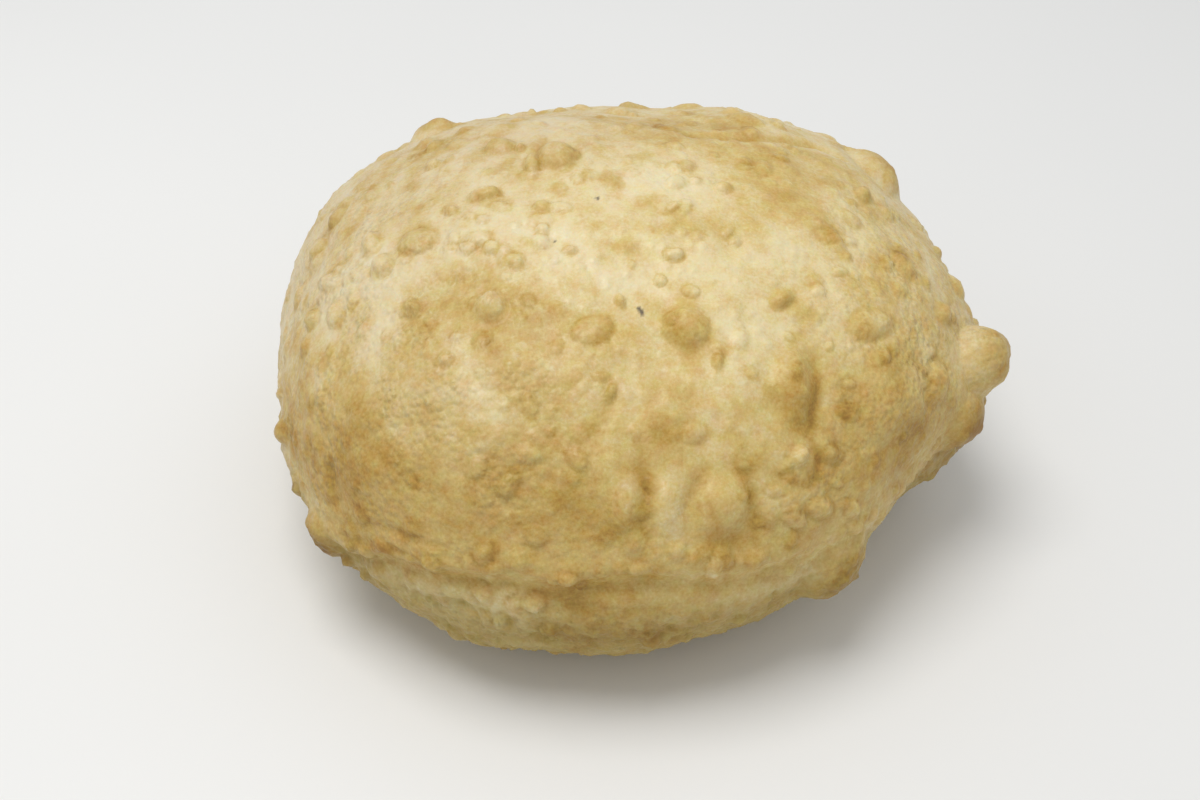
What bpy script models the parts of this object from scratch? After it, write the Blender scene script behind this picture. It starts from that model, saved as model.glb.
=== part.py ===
"""A bhatura: one round of leavened dough, rolled out, fried and puffed up whole, as one closed solid.

Sizes are in millimetres and angles in degrees; the finished mesh is scaled to metres.
A place on the skin is named by the direction to it from the middle of the round: azimuth is counted
from the right-hand end towards the back, and elevation upwards from the seam of the two skins.
"""

import math

import bmesh
import bpy
import numpy as np
from mathutils import Vector, noise

METRES_PER_MM = 0.001

# The puffed body: an oval dome over a fuller, shallower belly, meeting at the seam.
HALF_LENGTH = 110.0
HALF_DEPTH = 99.0
DOME_RISE = 68.0
BELLY_DROP = 54.0
PLAN_FULLNESS = 2.25
DOME_FULLNESS = 2.05
BELLY_FULLNESS = 2.4
SEAM_HEIGHT = 48.0
TURN_OF_OVAL = 9.0

# The foot, where the belly has settled flat: how far the skin rolls up round it, and the height under
# which a corner belongs to it.
FOOT_ROLL = 2.0
FOOT_FLATNESS = 0.12

# The seam: a ragged, wandering ridge round the rim with a groove under it, its height given by azimuth,
# and its strength by azimuth, reach and extra.
SEAM_RISE = 1.8
SEAM_WIDTH_ABOVE = 5.5
SEAM_WIDTH_BELOW = 2.0
SEAM_HEIGHTS = (
    (-180, -3), (-153, -8), (-143, -5), (-136, 2), (-126, 6), (-118, 10), (-110, 8), (-97, 12), (-88, 9),
    (-76, 6.5), (-68, 5), (-60, 1), (-40, 2), (-20, -2), (10, 3), (40, -1), (80, 3), (120, -2), (150, 1),
)
SEAM_RAGGED = 1.6
SEAM_RAG_SIZE = 8.0
SEAM_RAG_OCTAVES = 2
SEAM_RAG_PLACE = 11.0
SEAM_GROOVE = 2.0
SEAM_GROOVE_DROP = 6.0
SEAM_GROOVE_WIDTH = 3.2
SEAM_STRENGTH = 0.45
SEAM_PLACES = ((-130, 30, 0.5), (-90, 22, 0.3), (-60, 12, -0.3), (90, 60, 0.3))

# The middle of the plan, so that the round stands over the origin.
PLAN_MIDDLE = (0.6, -1.7)

# Facets: the skin is worked out finely, then thinned where it is smooth.
CELLS_PER_SIDE = 84
FACETS = 11500

# Broad swells and flats: azimuth, elevation, reach, rise.
SWELLS = (
    (-45, -5, 28, -8.5),
    (-15, -20, 25, 5.5),
    (45, 38, 25, 3),
    (152, 18, 30, 5),
    (-150, -5, 28, 1.5),
    (-120, -10, 28, 2.5),
    (-90, -5, 28, 3.5),
    (-90, -45, 30, 5),
    (-45, -45, 30, -2.5),
    (-135, -45, 30, 1),
    (-90, 45, 35, -1.5),
    (-30, 45, 35, -2),
    (-150, 45, 35, 2),
    (0, 0, 25, -3.5),
    (180, 0, 25, -3),
    (-15, 3, 11, 3.5),
    (-12, 52, 11, 1.2),
    (-130, 22, 17, 2.4),
    (-152, 38, 10, -1.2),
    (-100, 52, 9, -1),
    (-95, 14, 7, 1.2),
    (-72, 12, 8, 1.4),
    (-122, -17, 11, 3),
    (-98, -16, 8, 0.5),
    (-36, -11, 13, -8),
    (-72, -34, 22, -3.5),
    (64, 47, 17, -5),
    (114, 38, 10, -2),
    (176, 17, 9, -2),
    (151, 28, 13, -1.5),
)

# Knobs that stand out of the skin: azimuth, elevation, radius, angle of the cap, height share, lean.
KNOBS = (
    ("upper end knob", -19, 9, 11.5, 85, 0.95, 14),
    ("lower end knob", -26, 1.5, 11.5, 55, 0.65, 0),
    ("back right knob", 22.5, 24, 12.5, 60, 0.75, 0),
    ("back left knob", 132, 28, 9, 60, 0.75, 0),
    ("front right lobe", -62, -7, 14, 52, 0.9, 0),
    ("front left knob", -149, -6, 8.5, 60, 1, 0),
)

# How sharply a knob's side meets the skin round it.
KNOB_FOOT_POWER = 4

# Blisters: azimuth, elevation, radius, rise, stretch, heading of the stretch from level, and edge from 0
# for a soft swell to 1 for a crisp dome.
BLISTERS = (
    (166.5, 25.3, 3.7, 1.8, 1, 0, 0.5),
    (170.9, 20.5, 4.1, 1.3, 1, 0, 0.35),
    (-177.2, 32.9, 3.8, 2.5, 1.5, -5, 0.5),
    (-167.5, 34, 3.3, 2.5, 1.4, -15, 0.5),
    (-169, 40.5, 4.9, 1.3, 1.3, 70, 0.35),
    (-174.5, 24.3, 3.3, 1.3, 1.9, 35, 0.8),
    (-177, 54.9, 3.2, 2, 1.7, 70, 0.35),
    (149.4, 54.9, 5, 2, 1, 0, 0.35),
    (152.8, 69.2, 5.7, 3, 1.4, 35, 0.5),
    (163.5, 64.9, 2.7, 2.2, 1.9, 15, 0.5),
    (-154.6, 82, 3.8, 0.9, 1.3, -40, 0),
    (-137.1, 41.2, 4.3, 3, 1.2, -15, 0.3),
    (-152.4, 33.6, 2.7, 2.1, 1.3, 0, 0.5),
    (-170.2, 19, 3.2, 2.2, 1, 0, 0.5),
    (-165.5, 23.7, 3.6, 1.7, 1.3, -10, 0.5),
    (-110.7, 43.1, 4.4, 1, 1.2, 30, 0.8),
    (105.3, 41.2, 2.9, 1.6, 1, 0, 0.35),
    (-28.2, 81.1, 2.6, 1.3, 1.5, 10, 0.8),
    (-105.7, 63.3, 3.8, 0.5, 1.1, 30, 0),
    (-54.9, 44.1, 3.5, 2.3, 1.3, -5, 0.35),
    (-85.2, 44.3, 6.6, 3.2, 1.2, 60, 0.15),
    (2.8, 37.2, 3.5, 2.3, 1, 0, 0.35),
    (-23.1, 44, 3.6, 1.6, 1.9, 55, 0.15),
    (-16.6, 29.8, 4.4, 1.7, 1, 0, 0.35),
    (-19.7, 19.6, 4.3, 2.3, 1, 0, 0.35),
    (-39.7, 30.8, 4.7, 1.6, 1.8, -25, 0.5),
    (2.3, 16.8, 2.7, 1.8, 1, 0, 0.35),
    (-33.7, 15.2, 6, 2.3, 1.3, 20, 0.5),
    (-46, 19.2, 14.2, 2, 1.2, -5, 0.05),
    (-92.4, 29.9, 7.1, 0.8, 1.3, 70, 0.05),
    (-107.7, 4.2, 2.9, 2.1, 1, 0, 0.35),
    (-60, 2.7, 2.9, 1.4, 1.9, -50, 0.5),
    (-116.4, 21.7, 3.1, 1.3, 1.2, 10, 0.35),
    (-112.5, -1, 2.9, 1.8, 1.2, 35, 0.5),
    (-171.1, 3.7, 2.6, 1.7, 1, 0, 0.35),
    (-164.8, 1.7, 4.4, 2.8, 1, 0, 0.25),
    (-144.9, -8.2, 3.2, 2.5, 1, 0, 0.25),
    (-175.6, 9, 4.9, 1.3, 1, 0, 0.25),
    (-65.7, 29.3, 8.3, 4.5, 1.4, 65, 0.25),
    (-69.8, 19.4, 2.9, 2.2, 1.6, 10, 0.3),
    (-84.3, 14.6, 8.7, 3.2, 1.15, 85, 0.15),
    (-93.9, 16.1, 5, 1.6, 1.9, 85, 0),
    (-100.2, 16.2, 5.5, 2.1, 1.9, -90, 0),
    (-86, 4.8, 2.6, 1.6, 1.9, 90, 0.2),
    (-67.5, 9.6, 3.3, 1.5, 1.6, -40, 0.7),
    (-61.1, 6.4, 2.6, 1.2, 1.7, -55, 0.7),
)

# A blister's profile, the moat round a crisp one, how far past its radius one is felt, and the radius
# from which a blister carries smaller ones on its back.
CAP_POWER = 2.0
MOAT_DEPTH = 0.2
MOAT_PLACE = 1.15
MOAT_WIDTH = 0.2
BLISTER_REACH = 1.8
WIDE_BLISTER = 6.2

# Creases: name, half width, depth, and the bends they run through (azimuth, elevation); each fades out
# over its end share.
CREASES = (
    ("hook", 1.8, 1.1, ((-66.3, 22), (-65.9, 19), (-65.9, 16.7), (-67.4, 15), (-70, 14.5), (-73.6, 18))),
    ("right side of the flute", 1.9, 1.3, ((-79.7, 19), (-79.2, 15.5), (-78.7, 12), (-79.6, 8))),
    ("left side of the flute", 1.9, 0.8, ((-86.5, 20.8), (-89, 17.7), (-90.4, 15.3), (-90.6, 11.5))),
    ("left flute", 2.3, 1, ((-97.7, 23.5), (-96.8, 18), (-96.8, 11.8))),
    ("over the front left knob", 1.9, 0.9, ((-149.7, 10.1), (-145.6, 4.2))),
    ("fold at the back right", 2, 1, ((52.3, 64.3), (31.9, 52.1), (26.8, 39.3), (19.7, 35.7))),
    ("fold under the seam", 1.6, 0.7, ((-117.3, 0.9), (-108.6, -0.8), (-100.1, -1.5), (-89.6, -2))),
    ("left fold", 1.6, 0.8, ((-134.7, -7.6), (-126.3, -4.3), (-117.2, -4.5), (-107.2, -5.2))),
    ("lowest fold", 1.8, 0.8, ((-122.5, -11.4), (-114.4, -8.6), (-102.8, -8), (-90, -7.6))),
)
CREASE_END = 0.1
CREASE_TAPER = 0.5
CREASE_BEND = 0.6

# Blisters strewn over the whole skin, fewer and smaller on the side where each one is named above.
STREWN = 330
STREWN_SEED = 41
STREWN_RADIUS = (2.4, 5.0)
STREWN_LEAST = 2.2
STREWN_RISE = 0.34
STREWN_UNEVEN = (0.6, 1.2)
STREWN_STRETCH = 0.5
STREWN_STRAY = (5.0, 4.0)
STREWN_RIM_BIAS = 1.3
SMALL_BLISTERS_EDGE = 0.4
NAMED_SIDE = (-100, 45)
NAMED_SIDE_REACH = 72.0
NAMED_SIDE_KEPT = 0.35
NAMED_SIDE_SIZE = 0.65

# Blisters strung along the seam, spread over and under it, at about their distance from the middle.
RIM_BLISTERS = 110
RIM_SEED = 19
RIM_RADIUS = (1.8, 4.0)
RIM_RISE = 0.36
RIM_SPREAD = 3.5
RIM_DISTANCE = 104.0

# The unevenness of the whole crust, and how far it bends the blisters out of round.
LUMP_SIZE = 24.0
LUMP_RISE = 1.3
LUMP_OCTAVES = 3
LUMP_PLACE = 5.0
BEND_SIZE = 9.0
BEND = 1.3
BEND_SEED = 3

# The crumpled belly: size and height of its folds, and the heights between which they set in.
CRINKLE_SIZE = 13.0
CRINKLE_RISE = 1.8
CRINKLE_OCTAVES = 3
CRINKLE_PLACE = 17.0
CRINKLE_SETS_IN = (4.0, -10.0)

# How uneven the crust is where a fold of the belly neither rises nor sinks.
CRINKLE_LEVEL = 0.5

# The fall of each finer layer of unevenness, and how much finer it is than the one before.
NOISE_FALL = 1.0
NOISE_GAP = 2.0

# A short step for measuring the slope of the skin, and a length too short to tell its direction.
SLOPE_STEP = 0.01
TINY = 1e-6

CRUST_COLOUR = (0.62, 0.42, 0.17, 1.0)
CRUST_ROUGHNESS = 0.5


def clear_scene():
    for old in list(bpy.data.objects):
        bpy.data.objects.remove(old, do_unlink=True)


def direction(azimuth, elevation):
    """The unit vector for an azimuth and an elevation in degrees."""
    around = math.radians(azimuth)
    upward = math.radians(elevation)
    flat = math.cos(upward)
    return np.array([flat * math.cos(around), flat * math.sin(around), math.sin(upward)])


def unit(vectors):
    return vectors / np.linalg.norm(vectors, axis=-1, keepdims=True)


def nearness(ways, azimuth, elevation, reach):
    """1 in the direction named, falling away to nothing well past its reach."""
    apart = np.arccos(np.clip(ways @ direction(azimuth, elevation), -1.0, 1.0))
    return np.exp(-((apart / math.radians(reach)) ** 2))


def smooth_step(low, high, value):
    share = np.clip((value - low) / (high - low), 0.0, 1.0)
    return share * share * (3.0 - 2.0 * share)


def skin(ways):
    """The smooth skin of the puffed body in each direction, before blisters."""
    plan = np.abs(ways[:, 0] / HALF_LENGTH) ** PLAN_FULLNESS
    plan = plan + np.abs(ways[:, 1] / HALF_DEPTH) ** PLAN_FULLNESS
    plan = plan ** (1.0 / PLAN_FULLNESS)
    above = ways[:, 2] >= 0.0
    fullness = np.where(above, DOME_FULLNESS, BELLY_FULLNESS)
    reach = np.where(above, DOME_RISE, BELLY_DROP)
    radius = (plan**fullness + np.abs(ways[:, 2] / reach) ** fullness) ** (-1.0 / fullness)
    for azimuth, elevation, spread, rise in SWELLS:
        radius = radius + rise * nearness(ways, azimuth, elevation, spread)
    return ways * radius[:, None]


def skin_frame(ways):
    """Two tangents, level and rising, and the outward normal of the smooth skin."""
    level = np.stack([-ways[:, 1], ways[:, 0], np.zeros(len(ways))], axis=1)
    at_pole = np.linalg.norm(level, axis=1) < TINY
    level[at_pole] = (1.0, 0.0, 0.0)
    level = unit(level)
    rising = np.cross(ways, level)
    here = skin(ways)
    east = unit(skin(unit(ways + SLOPE_STEP * level)) - here)
    north = skin(unit(ways + SLOPE_STEP * rising)) - here
    outward = unit(np.cross(east, north))
    return east, np.cross(outward, east), outward


def cap(share, edge):
    """A blister's profile from its middle (0) to its rim (1), with a slight moat past the rim."""
    dome = np.clip(1.0 - share ** (CAP_POWER * (1.0 + edge)), 0.0, None) ** (CAP_POWER - edge)
    moat = MOAT_DEPTH * edge * np.exp(-(((share - MOAT_PLACE) / MOAT_WIDTH) ** 2))
    return dome - moat


def crust_noise(points, size, octaves, place):
    """Smooth unevenness, about -1 to 1, with lumps of the given size; place picks another stretch of it."""
    shifted = points / size + place
    return np.array([noise.fractal(Vector(spot), NOISE_FALL, NOISE_GAP, octaves) for spot in shifted])


def bent(points, amount):
    """The points nudged about, so that a round blister drawn through them comes out uneven."""
    noise.seed_set(BEND_SEED)
    nudge = np.array([noise.noise_vector(Vector(spot)) for spot in points / BEND_SIZE])
    return points + amount * nudge


def seam_wander(around):
    """How far the seam strays above its level, for an angle round the bread in radians."""
    azimuths, heights = zip(*SEAM_HEIGHTS)
    return np.interp(np.degrees(around), azimuths, heights, period=360.0)


def strewn_blisters():
    """Evenly spread places, nudged about, with blisters of mixed size; closer set near the seam."""
    chance = np.random.default_rng(STREWN_SEED)
    golden = math.pi * (3.0 - math.sqrt(5.0))
    small, large = STREWN_RADIUS
    found = []
    for index in range(STREWN):
        height = 1.0 - 2.0 * (index + 0.5) / STREWN
        height = math.copysign(abs(height) ** STREWN_RIM_BIAS, height)
        elevation = math.degrees(math.asin(height)) + chance.normal(0.0, STREWN_STRAY[1])
        azimuth = math.degrees(index * golden) % 360.0 + chance.normal(0.0, STREWN_STRAY[0])
        radius = small + (large - small) * chance.random() ** 2
        rise = STREWN_RISE * radius * chance.uniform(*STREWN_UNEVEN)
        stretch = 1.0 + STREWN_STRETCH * chance.random()
        heading = chance.uniform(-90.0, 90.0)
        kept = chance.random() < NAMED_SIDE_KEPT
        if off_named_side(azimuth, elevation) < NAMED_SIDE_REACH:
            radius *= NAMED_SIDE_SIZE
            rise *= NAMED_SIDE_SIZE**2 * kept
        if rise > 0.0 and radius > STREWN_LEAST:
            found.append((azimuth, elevation, radius, rise, stretch, heading, SMALL_BLISTERS_EDGE))
    return found


def off_named_side(azimuth, elevation):
    """The angle between a direction and the middle of the side with the named blisters."""
    likeness = float(direction(azimuth, elevation) @ direction(*NAMED_SIDE))
    return math.degrees(math.acos(max(-1.0, min(1.0, likeness))))


def rim_blisters():
    """Small blisters strung along the seam."""
    chance = np.random.default_rng(RIM_SEED)
    small, large = RIM_RADIUS
    found = []
    for index in range(RIM_BLISTERS):
        azimuth = 360.0 * (index + chance.random()) / RIM_BLISTERS - 180.0
        height = seam_wander(math.radians(azimuth)) + chance.normal(0.0, RIM_SPREAD)
        elevation = math.degrees(math.atan2(height, RIM_DISTANCE))
        radius = small + (large - small) * chance.random() ** 2
        found.append((azimuth, elevation, radius, RIM_RISE * radius, 1.0, 0.0, SMALL_BLISTERS_EDGE))
    return found


def blister_relief(points):
    """The height of the blisters over each point, small ones standing on wide ones."""
    wide = np.zeros(len(points))
    small = np.zeros(len(points))
    uneven = bent(points, BEND)
    everything = [*BLISTERS, *strewn_blisters(), *rim_blisters()]
    ways = np.array([direction(one[0], one[1]) for one in everything])
    centres = skin(ways)
    east, north, _ = skin_frame(ways)
    for index, (_, _, radius, rise, stretch, heading, edge) in enumerate(everything):
        away = uneven - centres[index]
        near = np.nonzero((away**2).sum(axis=1) < (BLISTER_REACH * radius * stretch) ** 2)[0]
        turned = math.radians(heading)
        along = math.cos(turned) * east[index] + math.sin(turned) * north[index]
        lengthwise = away[near] @ along
        squared = (away[near] ** 2).sum(axis=1) - lengthwise**2
        share = np.sqrt((lengthwise / stretch) ** 2 + np.clip(squared, 0.0, None)) / radius
        height = rise * cap(share, edge)
        layer = wide if radius > WIDE_BLISTER else small
        layer[near] = np.where(height > 0.0, np.maximum(layer[near], height), layer[near] + height)
    return wide + small


def closeness_to_line(points, corners, half_width):
    """1 on the line through the corners, falling away past the half width and towards the line's ends."""
    closest = np.zeros(len(points))
    runs = len(corners) - 1
    for index in range(runs):
        run = corners[index + 1] - corners[index]
        share = np.clip((points - corners[index]) @ run / (run @ run), 0.0, 1.0)
        nearest = corners[index] + share[:, None] * run
        # The line follows the skin, so its bulge over the chord is left out of the distance.
        sag = share * (1.0 - share) * (run @ run) / (2.0 * HALF_DEPTH)
        apart = np.clip(np.linalg.norm(points - nearest, axis=1) - sag, 0.0, None)
        along = np.clip((index + share) / runs, CREASE_END, 1.0 - CREASE_END)
        taper = np.sin(math.pi * along) ** CREASE_TAPER
        closest = np.maximum(closest, taper * np.exp(-((apart / half_width) ** 2)))
    return closest


def crease_relief(points):
    """Creases in the skin, deepest in their middle."""
    relief = np.zeros(len(points))
    uneven = bent(points, CREASE_BEND * BEND)
    for _, half_width, depth, bends in CREASES:
        corners = skin(np.array([direction(*bend) for bend in bends]))
        relief = np.minimum(relief, -depth * closeness_to_line(uneven, corners, half_width))
    return relief


def seam_strength(points):
    """How well the seam shows: fully at the front left, and less where the crust is pebbled."""
    ways = unit(points)
    strength = np.full(len(points), SEAM_STRENGTH)
    for azimuth, reach, extra in SEAM_PLACES:
        strength += extra * nearness(ways, azimuth, 0.0, reach)
    return strength


def seam_relief(points):
    """The ragged ridge where the upper and lower skins meet, and the groove under it."""
    wander = seam_wander(np.arctan2(points[:, 1], points[:, 0]))
    ragged = SEAM_RAGGED * crust_noise(points, SEAM_RAG_SIZE, SEAM_RAG_OCTAVES, SEAM_RAG_PLACE)
    above = points[:, 2] - wander - ragged
    half_width = np.where(above > 0.0, SEAM_WIDTH_ABOVE, SEAM_WIDTH_BELOW)
    ridge = SEAM_RISE * np.exp(-((above / half_width) ** 2))
    groove = SEAM_GROOVE * np.exp(-(((above + SEAM_GROOVE_DROP) / SEAM_GROOVE_WIDTH) ** 2))
    return seam_strength(points) * (ridge - groove)


def belly_relief(points):
    """The crumpled skin under the seam."""
    folds = CRINKLE_LEVEL - np.abs(crust_noise(points, CRINKLE_SIZE, CRINKLE_OCTAVES, CRINKLE_PLACE))
    return CRINKLE_RISE * smooth_step(*CRINKLE_SETS_IN, points[:, 2]) * folds


def raise_knobs(points, smooth):
    """Bulbs that swell out of the skin and draw in a little at their neck."""
    ways = np.array([direction(knob[1], knob[2]) for knob in KNOBS])
    centres = skin(ways)
    east, north, outward = skin_frame(ways)
    for index, (_, _, _, radius, cap_angle, height_share, lean) in enumerate(KNOBS):
        away = smooth - centres[index]
        near = np.nonzero(np.linalg.norm(away, axis=1) < radius)[0]
        across = away[near] @ east[index]
        up = away[near] @ north[index]
        apart = np.maximum(np.hypot(across, up), TINY)
        share = np.clip(np.linalg.norm(away[near], axis=1) / radius, 0.0, 1.0)
        turn = math.radians(cap_angle)
        bulb = radius / math.sin(turn)
        out = bulb * np.sin(turn * share)
        height = height_share * bulb * (np.cos(turn * share) - math.cos(turn))
        height = height * (1.0 - share**KNOB_FOOT_POWER)
        shift = out * np.minimum(apart / (share * radius + TINY), 1.0) - apart
        tilt = math.tan(math.radians(lean)) * height
        points[near] += (shift * across / apart)[:, None] * east[index]
        points[near] += (shift * up / apart + tilt)[:, None] * north[index]
        points[near] += height[:, None] * outward[index]
    return points


def settle(points):
    """Lifts the round to its seam height and flattens the foot, rolling the skin up round it."""
    low = points[:, 2] + SEAM_HEIGHT
    rolled = (low + FOOT_ROLL) ** 2 / (4.0 * FOOT_ROLL)
    eased = np.where(low < FOOT_ROLL, rolled, low)
    points[:, 2] = np.where(low < -FOOT_ROLL, 0.0, eased)
    return points


def turn_and_centre(points):
    """Turns the oval to its heading and stands it over the origin."""
    turn = math.radians(TURN_OF_OVAL)
    across = points[:, 0] * math.cos(turn) - points[:, 1] * math.sin(turn)
    back = points[:, 0] * math.sin(turn) + points[:, 1] * math.cos(turn)
    return np.stack([across - PLAN_MIDDLE[0], back - PLAN_MIDDLE[1], points[:, 2]], axis=1)


def ball_directions(mesh):
    """Evens out the cells of a subdivided cube and turns its corners into directions."""
    corners = np.empty(len(mesh.vertices) * 3)
    mesh.vertices.foreach_get("co", corners)
    corners = corners.reshape(-1, 3)
    return unit(np.tan(np.clip(corners, -1.0, 1.0) * math.pi / 4.0))


def subdivided_cube(cells):
    shape = bmesh.new()
    bmesh.ops.create_cube(shape, size=2.0)
    bmesh.ops.subdivide_edges(shape, edges=shape.edges[:], cuts=cells - 1, use_grid_fill=True)
    mesh = bpy.data.meshes.new("bhatura")
    shape.to_mesh(mesh)
    shape.free()
    return mesh


def bhatura_points(ways):
    """Every point of the finished crust, in millimetres."""
    smooth = skin(ways)
    _, _, outward = skin_frame(ways)
    relief = blister_relief(smooth) + crease_relief(smooth) + seam_relief(smooth) + belly_relief(smooth)
    relief += LUMP_RISE * crust_noise(smooth, LUMP_SIZE, LUMP_OCTAVES, LUMP_PLACE)
    points = smooth + relief[:, None] * outward
    points = raise_knobs(points, smooth)
    return turn_and_centre(settle(points))


def fried_dough_material():
    material = bpy.data.materials.new("fried dough")
    material.use_nodes = True
    surface = material.node_tree.nodes["Principled BSDF"]
    surface.inputs["Base Color"].default_value = CRUST_COLOUR
    surface.inputs["Roughness"].default_value = CRUST_ROUGHNESS
    return material


def thin_where_smooth(bhatura):
    """Merges facets where the skin is smooth."""
    thin = bhatura.modifiers.new("thin where smooth", "DECIMATE")
    thin.ratio = FACETS / (2.0 * len(bhatura.data.polygons))
    thin.use_collapse_triangulate = True
    thinned = bhatura.evaluated_get(bpy.context.evaluated_depsgraph_get())
    fine = bhatura.data
    bhatura.data = bpy.data.meshes.new_from_object(thinned)
    bhatura.modifiers.clear()
    bpy.data.meshes.remove(fine)
    bhatura.data.name = "bhatura"


def level_foot(mesh):
    """Brings every corner of the foot to exactly the same level, so that the bread stands steadily."""
    for vertex in mesh.vertices:
        if vertex.co.z < FOOT_FLATNESS * METRES_PER_MM:
            vertex.co.z = 0.0
    mesh.update()


def build_bhatura():
    mesh = subdivided_cube(CELLS_PER_SIDE)
    points = bhatura_points(ball_directions(mesh)) * METRES_PER_MM
    mesh.vertices.foreach_set("co", points.reshape(-1))
    mesh.update()
    mesh.materials.append(fried_dough_material())
    bhatura = bpy.data.objects.new("bhatura", mesh)
    bpy.context.scene.collection.objects.link(bhatura)
    thin_where_smooth(bhatura)
    level_foot(bhatura.data)


clear_scene()
build_bhatura()
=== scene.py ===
import math

import bmesh
import bpy
import numpy as np
from bpy.props import FloatProperty, FloatVectorProperty, IntProperty, PointerProperty
from mathutils import Matrix, Vector, kdtree, noise


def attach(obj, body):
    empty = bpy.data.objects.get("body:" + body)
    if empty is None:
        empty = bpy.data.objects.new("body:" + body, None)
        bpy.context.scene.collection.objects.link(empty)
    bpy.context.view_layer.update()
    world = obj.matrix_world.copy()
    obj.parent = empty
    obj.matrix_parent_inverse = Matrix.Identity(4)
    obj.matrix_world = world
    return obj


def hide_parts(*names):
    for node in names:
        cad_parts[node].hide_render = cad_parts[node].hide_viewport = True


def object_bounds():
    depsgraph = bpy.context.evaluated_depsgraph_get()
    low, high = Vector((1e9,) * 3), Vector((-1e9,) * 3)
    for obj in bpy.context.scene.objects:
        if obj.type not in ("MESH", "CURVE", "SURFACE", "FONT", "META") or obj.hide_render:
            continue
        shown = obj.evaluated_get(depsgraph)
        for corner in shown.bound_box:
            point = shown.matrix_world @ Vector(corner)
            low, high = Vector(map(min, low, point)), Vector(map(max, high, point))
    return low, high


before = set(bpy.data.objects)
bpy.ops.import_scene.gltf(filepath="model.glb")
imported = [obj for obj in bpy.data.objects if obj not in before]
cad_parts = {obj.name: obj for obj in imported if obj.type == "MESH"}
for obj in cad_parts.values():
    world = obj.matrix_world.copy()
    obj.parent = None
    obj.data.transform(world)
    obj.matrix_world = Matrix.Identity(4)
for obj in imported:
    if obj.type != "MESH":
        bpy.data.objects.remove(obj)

bl_info = {
    "name": "Bhatura",
    "version": (1, 0, 0),
    "blender": (4, 5, 0),
    "location": "3D View > Sidebar > Bhatura",
    "description": "Models one puffed, deep-fried bhatura with its blistered crust, and a plain stage",
    "category": "Object",
}

CAD_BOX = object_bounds()

METRES_PER_MM = 0.001
CELLS_PER_SIDE = 128
CELLS_DRAWN_TO_CAMERA = 0.30
CAMERA_SIDE = (-90.0, 45.0)

# A small step on the unit ball, and lengths that only guard against dividing by nothing.
TANGENT_STEP = 0.01
TINY = 1e-6
TINIEST = 1e-9

# A place on the skin is named by the direction to it from the body's middle: azimuth from the right-hand
# end towards the back, and elevation above the seam, in degrees. Lengths are in millimetres.

# Broad swells and flats: azimuth, elevation, reach, rise.
SWELLS = (
    (-45, -5, 28, -8.5), (-15, -20, 25, 5.5), (45, 38, 25, 3.0), (152, 18, 30, 5.0), (-150, -5, 28, 1.5),
    (-120, -10, 28, 2.5), (-90, -5, 28, 3.5), (-90, -45, 30, 5.0), (-45, -45, 30, -2.5),
    (-135, -45, 30, 1.0), (-90, 45, 35, -1.5), (-30, 45, 35, -2.0), (-150, 45, 35, 2.0), (0, 0, 25, -3.5),
    (180, 0, 25, -3.0), (-15, 3, 11, 3.5), (-12, 52, 11, 1.2), (-130, 22, 17, 2.4), (-152, 38, 10, -1.2),
    (-100, 52, 9, -1.0), (-95, 14, 7, 1.2), (-72, 12, 8, 1.4), (-122, -17, 11, 3.0), (-98, -16, 8, 0.5),
    (-36, -11, 13, -8.0), (-72, -34, 22, -3.5), (64, 47, 17, -5.0), (114, 38, 10, -2.0),
    (176, 17, 9, -2.0), (151, 28, 13, -1.5),
)

# Knobs that stand out of the skin: azimuth, elevation, radius, angle of the cap, height share, lean.
KNOBS = (
    (-19, 9.0, 11.5, 85, 0.95, 14),  # upper end knob
    (-26, 1.5, 11.5, 55, 0.65, 0),  # lower end knob
    (22.5, 24, 12.5, 60, 0.75, 0),  # back right knob
    (132, 28, 9.0, 60, 0.75, 0),  # back left knob
    (-62, -7, 14.0, 52, 0.9, 0),  # front right lobe
    (-149, -6, 8.5, 60, 1.0, 0),  # front left knob
)
KNOB_FOOT_POWER = 4

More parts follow.
